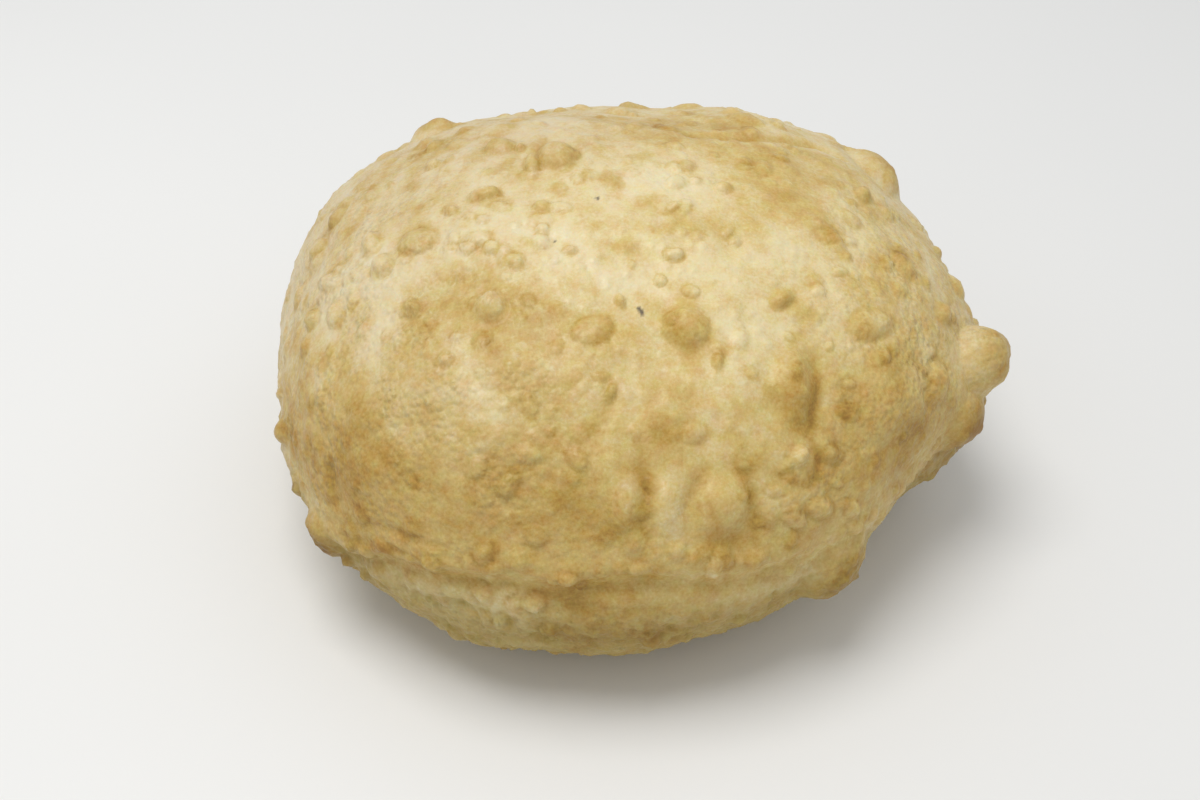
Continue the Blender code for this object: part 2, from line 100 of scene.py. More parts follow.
# Blisters: azimuth, elevation, radius, rise, stretch, heading of the stretch from level, edge from 0 for
# soft to 1 for crisp, and how much more the blister browned than the crust round it.
BLISTERS = (
    (166.5, 25.3, 3.7, 1.8, 1, 0, 0.7, 0.14), (170.9, 20.5, 4.1, 1.8, 1, 0, 0.7, 0.15),
    (-177.2, 32.9, 3.8, 2.5, 1.5, -5, 0.7, 0.14), (-167.5, 34, 3.3, 2.5, 1.4, -15, 0.7, 0.18),
    (-169, 40.5, 4.9, 1.9, 1.3, 70, 0.7, 0.12), (-174.5, 24.3, 3.3, 1.3, 1.9, 35, 0.8, 0.04),
    (158.2, 42.9, 2.3, 1.8, 1, 0, 0.7, 0.14), (157.6, 46, 2, 0.7, 1, 0, 0, 0.22),
    (162.4, 35.5, 1.5, 1, 1, 0, 0.7, 0.16), (160.3, 28.8, 1.4, 0.9, 1, 0, 0.7, 0.05),
    (-177, 54.9, 3.2, 2, 1.7, 70, 0.7, 0.18), (-174.9, 48.1, 2.2, 1.6, 1.6, 40, 0.7, 0.18),
    (149.4, 54.9, 5, 2, 1, 0, 0.7, 0.16), (149.6, 60.1, 2, 1.3, 1, 0, 0.7, 0.16),
    (152.8, 69.2, 5.7, 3, 1.4, 35, 0.7, 0.26),  # wide blister near the crown
    (163.5, 64.9, 2.7, 2.2, 1.9, 15, 0.7, 0.19), (-176.7, 77.4, 2.1, 0.8, 1.5, 5, 0, 0.2),
    (-154.6, 82, 3.8, 0.9, 1.3, -40, 0, 0.2), (-150.3, 66.9, 2.2, 0.9, 1.6, 45, 0.8, 0.02),
    (-166.2, 56.8, 2.1, 0.9, 1.7, 50, 0.8, 0.05), (-144.8, 59.7, 2.3, 1, 1, 0, 0.8, 0.02),
    (-163.9, 52.2, 1.8, 0.9, 1.3, 15, 0.8, 0.02), (-156.6, 47.3, 2, 1.3, 1.4, 25, 0.8, 0.06),
    (-150.6, 50, 2.2, 1.3, 1.3, 40, 0.8, 0.08), (-159.3, 44.7, 1.3, 0.9, 1.4, 10, 0.5, 0.06),
    (-140.7, 50.7, 2.6, 1.3, 1.2, -10, 0.8, 0.03), (-127.8, 58.8, 2.2, 1.3, 1.1, 25, 0.7, 0.12),
    (-129.9, 54.7, 1.3, 0.7, 1, 0, 0.8, 0.03), (-150.4, 42.4, 1.3, 0.9, 1.5, 20, 0.5, 0.12),
    (-151.6, 41, 1.2, 0.7, 1.4, 10, 0.5, 0.1),
    (-137.1, 41.2, 4.3, 3, 1.2, -15, 0.3, -0.2),  # white blister
    (-152.4, 33.6, 2.7, 2.1, 1.3, 0, 0.5, 0.16), (-145.1, 34.2, 1.9, 0.8, 1.4, -10, 0.5, 0),
    (-148.8, 29.6, 2.4, 1.3, 1.4, 0, 0.5, -0.1), (-170.2, 19, 3.2, 2.2, 1, 0, 0.7, 0.16),
    (-165.5, 23.7, 3.6, 1.7, 1.3, -10, 0.7, 0.11), (-178, 16.9, 2.1, 0.9, 1, 0, 0.7, -0.08),
    (-132.6, 36.7, 2.1, 1, 1.2, 10, 0.5, -0.02), (-138, 34.3, 1.6, 1.2, 1.2, -20, 0.5, -0.12),
    (-141.9, 31.4, 1.4, 0.7, 1.3, 10, 0.5, -0.12), (-136.5, 30.6, 2.2, 1.6, 1.2, 0, 0.5, -0.1),
    (-110.7, 43.1, 4.4, 1, 1.2, 30, 0.8, 0.06), (-105, 49.6, 1.8, 1.6, 1.2, 80, 0.35, 0.2),
    (112.4, 37.8, 2, 2.1, 1, 0, 0.35, 0), (105.3, 41.2, 2.9, 1.6, 1, 0, 0.35, 0.2),
    (-28.2, 81.1, 2.6, 1.3, 1.5, 10, 0.8, 0.05), (14.6, 77.8, 2.7, 1, 1.3, -65, 0.35, 0.2),
    (-62.7, 72.4, 2.7, 0.5, 1.3, -5, 0, 0.16), (-105.7, 63.3, 3.8, 0.5, 1.1, 30, 0, 0.12),
    (-101.6, 59.1, 1.3, 0.7, 1, 0, 0.5, 0.12), (-83.3, 61.6, 2.1, 1.3, 1.4, 0, 0.8, 0.03),
    (-90.7, 55.5, 1.9, 1.2, 1.2, 75, 0.8, 0.04), (-81.3, 51.7, 2.2, 0.9, 1.2, 0, 0.8, 0),
    (-54.9, 44.1, 3.5, 2.3, 1.3, -5, 0.35, 0.18),
    (-85.2, 44.3, 6.6, 3.2, 1.2, 60, 0.15, 0.25),  # round blister in the middle
    (2.8, 37.2, 3.5, 2.3, 1, 0, 0.35, 0.2), (-23.1, 44, 3.6, 1.6, 1.9, 55, 0.15, 0.18),
    (-26.7, 40.7, 1.9, 1, 1.4, -5, 0.15, 0.14), (-16.6, 29.8, 4.4, 1.7, 1, 0, 0.35, 0.18),
    (-9.5, 26.7, 1.7, 0.9, 1, 0, 0.5, 0.1), (-16.8, 25.1, 2.4, 1.2, 1, 0, 0.35, 0.14),
    (-23.9, 29.6, 3, 0.9, 1.9, -10, 0.35, 0.12), (-18.7, 34, 1.5, 0.8, 1.9, -20, 0.5, 0.12),
    (-19.7, 19.6, 4.3, 2.3, 1, 0, 0.35, 0.12), (-39.7, 30.8, 4.7, 1.6, 1.8, -25, 0.5, 0.12),
    (2.3, 16.8, 2.7, 1.8, 1, 0, 0.35, 0), (-42.1, 43, 2.7, 0.8, 1.4, -5, 0.15, 0.16),
    (-33.7, 15.2, 6, 2.3, 1.3, 20, 0.5, 0.08),  # lobe inside the lower end knob
    (-46, 19.2, 14.2, 2, 1.2, -5, 0.05, 0.1),  # swell at the right
    (-53.7, 25.4, 1.6, 0.9, 1.5, -20, 0.5, -0.1), (-56.5, 22.3, 2.5, 0.8, 1.4, -20, 0.35, 0.14),
    (-31.1, 20.1, 2.1, 1, 1.9, -30, 0.5, -0.05), (-79.4, 36.9, 1.9, 1.6, 1.9, 65, 0.35, 0.18),
    (-92.4, 29.9, 7.1, 0.8, 1.3, 70, 0.05, 0.2), (-106.6, 35.2, 1.6, 0.9, 1.5, 10, 0.35, 0.14),
    (-104.5, 32.5, 1.8, 1.3, 1.7, 80, 0.35, 0.22), (-107.7, 4.2, 2.9, 2.1, 1, 0, 0.35, -0.05),
    (-106, 2.8, 2, 1, 1, 0, 0.35, 0.18), (-60, 2.7, 2.9, 1.4, 1.9, -50, 0.5, 0.02),
    (-116.4, 21.7, 3.1, 1.3, 1.2, 10, 0.35, -0.1), (-135.3, 24.2, 1.8, 0.9, 1.3, 15, 0.35, 0.1),
    (-113.9, 25.9, 1.5, 0.8, 1, 0, 0.5, -0.05), (-141.3, 8.8, 1.3, 1.2, 1.6, 40, 0.5, -0.1),
    (-131, 6.6, 3.1, 0.8, 1.5, 40, 0.15, 0.22), (-118.7, 7.9, 1.8, 0.7, 1.5, 90, 0.15, 0.14),
    (-112.5, -1, 2.9, 1.8, 1.2, 35, 0.5, -0.15), (-116.5, 0.8, 1.7, 1, 1.5, 25, 0.5, -0.1),
    (-117.2, -5.2, 1.9, 1, 1.4, 45, 0.5, -0.15), (-171.1, 3.7, 2.6, 1.7, 1, 0, 0.35, 0.12),
    (-164.8, 1.7, 4.4, 2.8, 1, 0, 0.25, 0.22), (-157.2, -3.6, 2.5, 1.6, 1, 0, 0.35, 0.1),
    (-144.9, -8.2, 3.2, 2.5, 1, 0, 0.25, 0.18), (-141.1, -9.1, 2.2, 1.8, 1, 0, 0.25, 0.14),
    (-175.6, 9, 4.9, 1.3, 1, 0, 0.25, 0.05),
    (-65.7, 29.3, 8.3, 3.6, 1.4, 65, 0.2, 0.16),  # tall blister
    (-69.8, 18.9, 3.1, 1.9, 1.3, 20, 0.2, -0.12),  # bulb above the hook
    (-64.1, 17.9, 2.7, 0.6, 1.3, 60, 0.2, 0),
    (-84.3, 14.6, 8.7, 3.2, 1.15, 85, 0.15, 0.12),  # right flute
    (-93.9, 16.1, 5, 1.6, 1.9, 85, 0, -0.04),  # pale ridge between the flutes
    (-100.2, 16.2, 5.5, 2.1, 1.9, -90, 0, 0.1),  # left flute
    (-86.2, 5.0, 2.3, 1.3, 1.7, 88, 0.4, -0.34),  # petal on the seam
    (-67.5, 9.6, 3.3, 1.5, 1.6, -40, 0.7, -0.02), (-61.1, 6.4, 2.6, 1.2, 1.7, -55, 0.7, -0.04),
    (-72.5, 9.7, 2.6, 1.1, 1.7, -30, 0.7, -0.02), (-75.2, 15.3, 2.1, 0.8, 1.4, -20, 0.5, 0.02),
    (-63.2, 11.8, 1.7, 0.8, 1.7, -25, 0.6, -0.05),
)

# Creases: half width, depth, the darkening in them (partly browning, partly painted shade), and the bends
# they run through (azimuth, elevation).
CREASES = (
    # Nearly flat, this crease is mostly a line of painted shade.
    (1.9, 0.1, 0.30,
     ((-57.2, 33.6), (-59.1, 29.5), (-61.9, 25.6), (-65.5, 22.1))),  # right of the tall blister
    (1.6, 0.6, 0.30,
     ((-66.3, 22), (-65.9, 19), (-65.9, 16.7), (-67.4, 15), (-70, 14.5), (-72.5, 15.8))),  # hook
    (2.2, 0.4, 0.10, ((-72.5, 15.8), (-74.4, 17.6), (-77, 19.6))),  # left of the hook
    (1.4, 0.2, 0.16, ((-61.6, 20.4), (-61.6, 17.1), (-62.8, 14.5))),  # short crease beyond the hook
    (1.9, 0.9, 0.26, ((-79.7, 19), (-79.2, 15.5), (-78.7, 12), (-79.6, 8))),  # right side of the flute
    (2.4, 0.4, 0.10, ((-79.4, 8.4), (-83.8, 8.2), (-88.2, 9.6))),  # foot of the flute
    (1.9, 0.8, 0.18, ((-86.5, 20.8), (-89, 17.7), (-90.4, 15.3), (-90.6, 11.5))),  # left side of the flute
    (0.9, 0.2, 0.12, ((-88.9, 16.8), (-88.3, 14.1))),  # inner line of the flute
    (0.9, 0.2, 0.12, ((-87.1, 16.3), (-85.6, 11.5))),  # inner line of the flute, right
    (2.3, 1.0, 0.34, ((-97.7, 23.5), (-96.8, 18), (-96.8, 11.8))),  # left flute
    (0.9, 0.3, 0.10, ((-86.4, 8.2), (-87, 5.4), (-87.5, 2))),  # left of the petal
    (0.9, 0.3, 0.10, ((-85.7, 7.9), (-84.7, 4.7), (-83.8, 1.4))),  # right of the petal
    (1.8, 0.4, 0.12, ((-106.5, 35.9), (-103.5, 30.7), (-106.3, 25.2))),  # middle of the front
    (1.9, 0.9, 0.12, ((-149.7, 10.1), (-145.6, 4.2))),  # over the front left knob
    (2.0, 1.7, 0.20, ((52.3, 64.3), (31.9, 52.1), (26.8, 39.3), (19.7, 35.7))),  # fold at the back right
    (1.0, 0.6, 0.12, ((-143.3, -1), (-132.5, 2.8), (-124.7, 3.9))),  # pleat over the seam
    (1.0, 0.6, 0.12, ((-139.6, 0.1), (-130.9, 1.0), (-124.3, 1.9))),  # pleat over the seam, nearer
    (1.2, 0.5, 0.10, ((-143, 2.8), (-132.7, 5.6), (-126.4, 6.2))),  # pleat over the seam, higher
    (1.6, 0.4, 0.08, ((-117.3, 0.9), (-108.6, -0.8), (-100.1, -1.5), (-89.6, -2))),  # fold under the seam
    (1.6, 0.5, 0.08, ((-134.7, -7.6), (-126.3, -4.3), (-117.2, -4.5), (-107.2, -5.2))),  # left fold
    (1.8, 0.5, 0.08, ((-122.5, -11.4), (-114.4, -8.6), (-102.8, -8), (-90, -7.6))),  # lowest fold
)
CREASE_END = 0.1
CREASE_TAPER = 0.5
CREASE_BEND = 0.6

# Where the crust browned or stayed pale: azimuth, elevation, radius, stretch, heading, browning.
PATCHES = (
    # Golden or tan.
    (-6, 53, 12, 1.4, -15, 0.16), (44, 65, 18, 1.0, 0, 0.09), (-126, 44, 9, 1.2, 15, 0.30),
    (-146, 42, 8, 1.4, 55, 0.26), (-147, 15, 11, 1.3, -60, 0.19), (-137, 14, 14, 1.9, 35, 0.27),
    (-118, 18, 6, 1.9, 15, 0.05), (-122, 27, 9, 1.3, 0, 0.07), (-66, 28, 5, 1.4, 65, 0.26),
    (-26, 20, 9, 1.4, 40, 0.04), (-125, 10, 9, 1.9, 20, 0.20), (-106, 10, 8, 1.9, 5, 0.20),
    (-44, 21, 17, 1.5, -25, 0.16), (-57, 10, 12, 1.7, -40, 0.15), (149, 38, 13, 1.0, 0, 0.16),
    (175, 25, 11, 1.4, 80, 0.03), (-164, 7, 9, 1.5, 0, 0.22), (81, 59, 20, 1.0, 0, 0.12),
    (-70, 16, 4, 1.7, -20, 0.18), (-92, 13, 11, 1.9, 0, 0.08), (-159, 7, 7, 1.8, -60, 0.16),
    (-45, 9, 10, 1.5, 0, 0.29), (-102, -3, 10, 1.9, 0, 0.24), (-94, 76, 3.5, 1.2, 0, 0.24),
    (-64, 69, 4, 2.0, -20, 0.24), (-148, 82, 3, 1.3, 0, 0.18), (-103, 62, 4, 1.2, 0, 0.16),
    (-56, 61, 4, 1.4, 30, 0.14), (-120, 68, 9, 1.3, 0, 0.31), (56, 54, 10, 1.4, 0, 0.10),
    (-149, 31, 9, 1.3, 0, 0.26), (-96, 40, 7, 1.4, 80, 0.19), (-77, 26, 8, 1.3, 0, 0.10),
    (-110, 22, 10, 1.5, 10, 0.28), (-26, -2, 12, 1.2, 0, 0.28), (-154, 2, 8, 1.6, 0, 0.22),
    (-131, 38, 5, 1.3, 0, 0.12), (-124, 37, 8, 1.3, -20, 0.16), (-172, 16, 8, 1.3, 80, 0.16),
    (-76, 7, 8, 1.9, 0, 0.18), (-178, 39, 6, 1.3, 0, 0.12), (-20, 49, 7, 1.3, 0, 0.12),
    (-55, 38, 6, 1.3, 0, 0.14), (-136, 3, 7, 1.8, 0, 0.12), (-107, 1, 6, 1.7, 0, 0.12),
    (-161, 20, 6, 1.3, 0, 0.14), (-74, 22, 5, 1.4, 0, 0.10), (-109, 16, 6, 1.3, 0, 0.10),
    # Pale or olive.
    (-127, 20, 5, 1.4, 20, -0.08), (-119, 50, 6, 1.3, 80, -0.12), (-134, 60, 17, 1.5, 40, -0.25),
    (-62, 84, 14, 1.3, -15, -0.22), (-96, 54, 9, 1.3, 10, -0.16), (-73, 39, 9, 1.3, 55, -0.12),
    (-98, 40, 5, 1.8, 85, -0.12), (-107, 22, 8, 1.3, 5, -0.06), (-80, 22, 9, 1.9, -10, -0.06),
    (-155, 28, 6, 1.9, -60, -0.30), (-167, 26, 5, 1.9, -60, -0.08), (-45, 50, 15, 1.4, 25, -0.15),
    (-15, 41, 12, 1.2, 0, -0.10), (-45, 31, 13, 1.3, -30, -0.08), (-36, 18, 9, 1.3, 0, -0.10),
    (-170, 50, 12, 1.4, 0, -0.03), (-103, 13, 8, 1.0, 0, -0.04), (-130, 24, 9, 1.2, 0, -0.06),
    (-121, -8, 11, 1.8, 10, -0.06), (-59, 58, 6, 1.3, 0, -0.10), (-100, 17, 5, 1.3, 90, -0.10),
)
PATCH_REACH = 3.0
PATCH_FADE = 0.7

# Blisters strewn over the whole skin, few and small on the side where each one is listed above.
STREWN = 330
STREWN_SEED = 41
STREWN_RADIUS = (2.4, 5.0)
STREWN_RISE = 0.34
STREWN_RISES = (0.6, 1.2)
STREWN_STRETCH = 0.5
STREWN_EDGE = 0.4
STREWN_TINT = 0.10
STREWN_RIM_BIAS = 1.3
STREWN_NUDGES = (4.0, 5.0)
LISTED_SIDE = (-100, 45)
LISTED_SIDE_REACH = 72.0
LISTED_SIDE_KEPT = 0.35
LISTED_SIDE_SIZE = 0.65

# Blisters strung along the seam.
RIM_BLISTERS = 110
RIM_SEED = 19
RIM_RADIUS = (1.8, 4.0)
RIM_RISE = 0.36
RIM_EDGE = 0.25
RIM_TINT = 0.02
RIM_SPREAD = 3.5
RIM_REACH = 104.0

# How far out a blister reaches and the moat round a crisp one, as shares of its radius and rise, and the
# radius from which it carries smaller ones.
BLISTER_REACH = 1.8
MOAT_DEPTH = 0.20
MOAT_PLACE = 1.15
MOAT_WIDTH = 0.2
WIDE_BLISTER = 6.2

# The fullness of the outline, which is 2 for an oval and more for a squarer one, the middle of the plan,
# and the height up to which the skin rolls round the foot.
PLAN_FULLNESS = 2.25
DOME_FULLNESS = 2.05
BELLY_FULLNESS = 2.4
PLAN_MIDDLE = (0.6, -1.7)
FOOT_ROLL = 2.0

# The seam's ridge and the groove under it: its height by azimuth, how ragged it is (size, octaves and
# stretch of the noise), and its strength, with what is added by azimuth, elevation, reach and extra.
SEAM_RISE = 1.8
SEAM_WIDTH_ABOVE = 5.5
SEAM_WIDTH_BELOW = 2.0
SEAM_HEIGHTS = (
    (-180, -3), (-153, -8), (-143, -5), (-136, 2), (-126, 6), (-118, 10), (-110, 8), (-97, 12), (-88, 9),
    (-76, 6.5), (-68, 5), (-60, 1), (-40, 2), (-20, -2), (10, 3), (40, -1), (80, 3), (120, -2), (150, 1),
)
SEAM_RAGGED = 1.6
SEAM_RAGS = (8.0, 2, 11.0)
SEAM_STRENGTH = 0.45
SEAM_PLACES = ((-130, 0, 30, 0.5), (-90, 0, 22, 0.3), (-60, 0, 12, -0.3), (90, 0, 60, 0.3))
SEAM_GROOVE = 1.5
SEAM_GROOVE_DROP = 6.0
SEAM_GROOVE_WIDTH = 3.2

# Unevenness of the crust: size, octaves and stretch of each noise, how high it stands, and the levels
# between which the crumpled belly and the finest relief fade in. Wrinkles take their size from a setting.
OCTAVE_FALL = 1.0
OCTAVE_STEP = 2.0
LUMPS = (24.0, 3, 5.0)
LUMP_RISE = 1.3
MOTTLE = (10.0, 3, 8.0)
MOTTLE_RISE = 0.22
CRINKLES = (13.0, 3, 17.0)
CRINKLE_RISE = 1.4
CREPE = (4.5, 2, 23.0)
CREPE_RISE = 1.3
FOLD_MIDDLE = 0.5
BELLY_LEVELS = (4.0, -10.0)
WRINKLES = (2, 3.0)
FINE_LEVELS = (0.5, 5.0)

# How far blisters, creases and patches are bent out of round.
BEND_SIZE = 9.0
BEND = 1.3
BEND_SEED = 3
PATCH_BEND_SIZE = 16.0
PATCH_BEND = 6.0

# How far parts of the crust browned, from 0 for pale to 1 for dark golden brown; some values below paint
# shade or highlights into it, as marked. Each noise has its size, octaves and stretch.
BASE_BROWNING = 0.42
BROAD = (30.0, 3, 2.0)
BROAD_BROWNING = 0.10
MOTTLE_BROWNING = 0.09
# The ring at each blister's rim, and the tint fading towards the middle, are partly browning and partly
# painted shade.
RIM_RING_BROWNING_AND_SHADE = 0.20
RING_WIDTH = 0.2
TINT_IN_MIDDLE_WITH_RIM_SHADE = 0.6
TINT_EDGE = (1.25, 0.6)
STREAK_BROWNING = 0.14
STREAKS = (1.0, 3, 13.0)
STREAK_ALONG = 3.2
STREAK_ACROSS = 15.0
STREAKS_EVERYWHERE = 0.25
STREAKS_CLEAREST = (170, 38, 48)
SPOT_BROWNING = 0.13
SPOTS = (11.0, 2, 37.0)
SPOT_EDGE = (0.1, 0.55)
SPOT_LEVELS = (10.0, 40.0)
KNOB_BROWNING = 0.29
KNOB_BROWNED = (0.1, 0.8)
SEAM_BROWNING = 0.08
# Darkening in the groove under the seam: painted shade.
GROOVE_SHADE = 0.23
BELLY_BROWNING = 0.03
# Darkening in the hollows of the belly's crinkles and crepe: painted shade.
CRINKLE_HOLLOW_SHADE = 0.08
CREPE_HOLLOW_SHADE = 0.12
# Pinhead tops are painted paler: painted highlights.
PINHEAD_PAINTED_GLINT = -0.05
PINHEAD_GLINT_LEVELS = (0.1, 0.5)
TAN_BROWNING = -0.16

# Where the crust is a duller, pinker tan: azimuth, elevation, reach, share.
TANNED_PLACES = (
    (148, 40, 34, 0.9), (170, 10, 24, 0.5), (-168, -10, 18, 0.4), (100, 62, 26, 0.5), (-18, 12, 8, 0.5),
    (30, 25, 30, 0.3), (-150, 26, 28, 0.45), (-122, 22, 22, 0.3),
)

# Dark specks in the crust: azimuth, elevation, radius.
SPECKS = (
    (-140.2, 74.9, 0.7), (-136.4, 59.4, 0.55), (-98.5, 48.8, 0.7), (-98.1, 48.3, 0.8), (-97.7, 47.8, 0.7),
)
SPECK_EDGE = (1.2, 0.6)

# Pinhead blisters: how closely set they are, and closer by direction: azimuth, elevation, reach, extra.
PINHEAD_SEED = 7
PINHEAD_RADIUS = (0.9, 2.1)
PINHEAD_SMALLNESS = 2.2
PINHEAD_RISE = 0.26
PINHEAD_RISES = (0.6, 1.15)
PINHEAD_CLEARANCE = 1.2
PINHEAD_LEVEL = 1.0
PINHEAD_EVERYWHERE = 0.25
PINHEAD_PLACES = (
    (-150, 25, 22, 0.9), (175, 25, 26, 0.8), (-165, 48, 20, 0.4), (-20, 18, 26, 0.8), (-60, 5, 22, 0.5),
    (-125, 0, 30, 0.5), (-125, 26, 16, 0.3), (-70, 75, 30, 0.25), (-62, 12, 14, 0.15), (-153, 2, 11, 0.5),
    (-108, -12, 22, 0.5), (-42, 20, 16, 0.35),
)

# The still finer pebbles of the finish: their least strength, their strength where pinheads are close set
# and on the belly, how uneven they are, and the levels between which the underside's pebbles and its
# darker tint, partly painted shade, fade in.
PEBBLES_EVERYWHERE = 0.12
PEBBLES = 0.55
PEBBLES_ON_BELLY = 0.50
PEBBLES_UNEVEN = 1.2
PEBBLE_CLOUDS = (14.0, 2, 29.0)
UNDERSIDE_LEVELS = (3.0, -15.0)

# Small blisters sprinkled where the crust is pebbled.
SPRINKLED = 700
SPRINKLED_SEED = 23
SPRINKLED_RADIUS = (1.6, 3.1)
SPRINKLED_RISE = 0.42
SPRINKLED_RISES = (0.5, 1.2)
SPRINKLED_STRETCH = 0.6
SPRINKLED_EDGE = 0.5
SPRINKLED_TINT = 0.07

# The finish: scale, detail and roughness of its noises, how much each moves the browning, where the
# colours stand on the ramp, and the heights of its bumps in metres.
NOISE_MIDDLE = 0.5
MOTTLE_TEXTURE = (260.0, 4.0, 0.62)
MOTTLE_WEIGHT = 0.42
SPECKLE_TEXTURE = (1100.0, 2.0, 0.6)
SPECKLE_WEIGHT = 0.36
BROWNING_STOPS = (0.0, 0.28, 0.52, 0.78, 1.0)
HUE_SHIFT = 0.16
OIL_NOISE = (0.3, 0.7)
OIL_ROUGHNESS = (-0.1, 0.12)
PEBBLE_SCALE = 520.0
PEBBLE_SMOOTHNESS = 0.6
PEBBLE_HEIGHT = 0.0009
GRAIN_STRENGTH = 0.25
GRAIN_HEIGHT = 0.0006
CRUST_SHADER = {
    "Subsurface Weight": 0.12,
    "Subsurface Radius": (1.0, 0.55, 0.25),
    "Subsurface Scale": 0.004,
    "Specular IOR Level": 0.25,
    "Coat Weight": 0.14,
    "Coat Roughness": 0.18,
}

# The stage, in metres.
FLOOR_SEGMENTS = 8
FLOOR_TEXTURE = (3.0, 2.0, 0.5)
FLOOR_STOPS = (0.3, 0.7)
FLOOR_SHADE = 0.97
FLOOR_ROUGHNESS = 0.6
KEY_PLACE = Vector((-0.26, -0.10, 1.20))
KEY_AIM = Vector((0.0, 0.0, 0.05))
KEY_SIZE = 0.7
KEY_COLOUR = (1.0, 0.985, 0.96)
SKY_COLOUR = (0.97, 0.985, 1.0, 1.0)
SENSOR_WIDTH_MM = 36.0
NEAREST_SEEN = 0.01


def unit(vectors):
    return vectors / np.linalg.norm(vectors, axis=-1, keepdims=True)


def direction(azimuth, elevation):
    """The unit vector for an azimuth and an elevation in degrees."""
    around = math.radians(azimuth)
    upward = math.radians(elevation)
    flat = math.cos(upward)
    return np.array([flat * math.cos(around), flat * math.sin(around), math.sin(upward)])


def nearness(ways, azimuth, elevation, reach):
    """1 in the direction named, falling away to nothing well past its reach."""
    apart = np.arccos(np.clip(ways @ direction(azimuth, elevation), -1.0, 1.0))
    return np.exp(-((apart / math.radians(reach)) ** 2))


def share_by_place(ways, everywhere, places):
    """A share for each direction: the same everywhere, and more or less near the places listed."""
    share = np.full(len(ways), everywhere)
    for azimuth, elevation, reach, extra in places:
        share += extra * nearness(ways, azimuth, elevation, reach)
    return share


def smooth_step(low, high, value):
    share = np.clip((value - low) / (high - low), 0.0, 1.0)
    return share * share * (3.0 - 2.0 * share)


def skin(body, ways):
    """The smooth skin of the puffed body in each direction, before blisters."""
    plan = np.abs(ways[:, 0] / body.half_length) ** PLAN_FULLNESS
    plan = plan + np.abs(ways[:, 1] / body.half_depth) ** PLAN_FULLNESS
    plan = plan ** (1.0 / PLAN_FULLNESS)
    above = ways[:, 2] >= 0.0
    fullness = np.where(above, DOME_FULLNESS, BELLY_FULLNESS)
    reach = np.where(above, body.dome_rise, body.belly_drop)
    radius = (plan**fullness + np.abs(ways[:, 2] / reach) ** fullness) ** (-1.0 / fullness)
    for azimuth, elevation, spread, rise in SWELLS:
        radius = radius + rise * nearness(ways, azimuth, elevation, spread)
    return ways * radius[:, None]


def skin_frame(body, ways):
    """Two tangents, level and rising, and the outward normal of the smooth skin."""
    level = np.stack([-ways[:, 1], ways[:, 0], np.zeros(len(ways))], axis=1)
    at_pole = np.linalg.norm(level, axis=1) < TINY
    level[at_pole] = (1.0, 0.0, 0.0)
    level = unit(level)
    rising = np.cross(ways, level)
    here = skin(body, ways)
    east = unit(skin(body, unit(ways + TANGENT_STEP * level)) - here)
    north = skin(body, unit(ways + TANGENT_STEP * rising)) - here
    outward = unit(np.cross(east, north))
    return east, np.cross(outward, east), outward


def spots_on_skin(body, rows):
    """The point on the smooth skin, and its two tangents, for each row's azimuth and elevation."""
    ways = np.array([direction(*row[:2]) for row in rows])
    east, north, _ = skin_frame(body, ways)
    return zip(skin(body, ways), east, north)


def cap(share, edge):
    """A blister's profile from its middle (0) to its rim (1), with a slight moat past the rim."""
    dome = np.clip(1.0 - share ** (2.0 + 2.0 * edge), 0.0, None) ** (2.0 - edge)
    moat = MOAT_DEPTH * edge * np.exp(-(((share - MOAT_PLACE) / MOAT_WIDTH) ** 2))
    return dome - moat


def crust_noise(points, size, octaves, place):
    """Smooth unevenness, about -1 to 1, with lumps of one size; place picks another stretch of it."""
    shifted = points / size + place
    return np.array([noise.fractal(Vector(spot), OCTAVE_FALL, OCTAVE_STEP, octaves) for spot in shifted])


def bent(points, size, amount):
    """The points nudged about, so that a round patch drawn through them comes out uneven."""
    noise.seed_set(BEND_SEED)
    nudge = np.array([noise.noise_vector(Vector(spot)) for spot in points / size])
    return points + amount * nudge


def seam_wander(around):
    """How far the seam strays above its level, for an angle round the bread in radians."""
    azimuths, heights = zip(*SEAM_HEIGHTS)
    return np.interp(np.degrees(around), azimuths, heights, period=360.0)


def mostly_small(chance, sizes, smallness=2):
    """A random size between two, more often near the smaller one."""
    small, large = sizes
    return small + (large - small) * chance.random() ** smallness


def strewn_blisters():
    """Evenly spread places, nudged about, with blisters of mixed size; few where the listed ones are."""
    chance = np.random.default_rng(STREWN_SEED)
    golden = math.pi * (3.0 - math.sqrt(5.0))
    front = direction(*LISTED_SIDE)
    rise_nudge, turn_nudge = STREWN_NUDGES
    found = []
    for index in range(STREWN):
        height = 1.0 - 2.0 * (index + 0.5) / STREWN
        height = math.copysign(abs(height) ** STREWN_RIM_BIAS, height)
        elevation = math.degrees(math.asin(height)) + chance.normal(0.0, rise_nudge)
        azimuth = math.degrees(index * golden) % 360.0 + chance.normal(0.0, turn_nudge)
        radius = mostly_small(chance, STREWN_RADIUS)
        rise = STREWN_RISE * radius * chance.uniform(*STREWN_RISES)
        stretch = 1.0 + STREWN_STRETCH * chance.random()
        heading = chance.uniform(-90.0, 90.0)
        kept = chance.random()
        apart = math.degrees(math.acos(float(np.clip(direction(azimuth, elevation) @ front, -1.0, 1.0))))
        if apart < LISTED_SIDE_REACH:
            if kept > LISTED_SIDE_KEPT:
                continue
            radius *= LISTED_SIDE_SIZE
            rise *= LISTED_SIDE_SIZE**2
        found.append((azimuth, elevation, radius, rise, stretch, heading, STREWN_EDGE, STREWN_TINT))
    return found


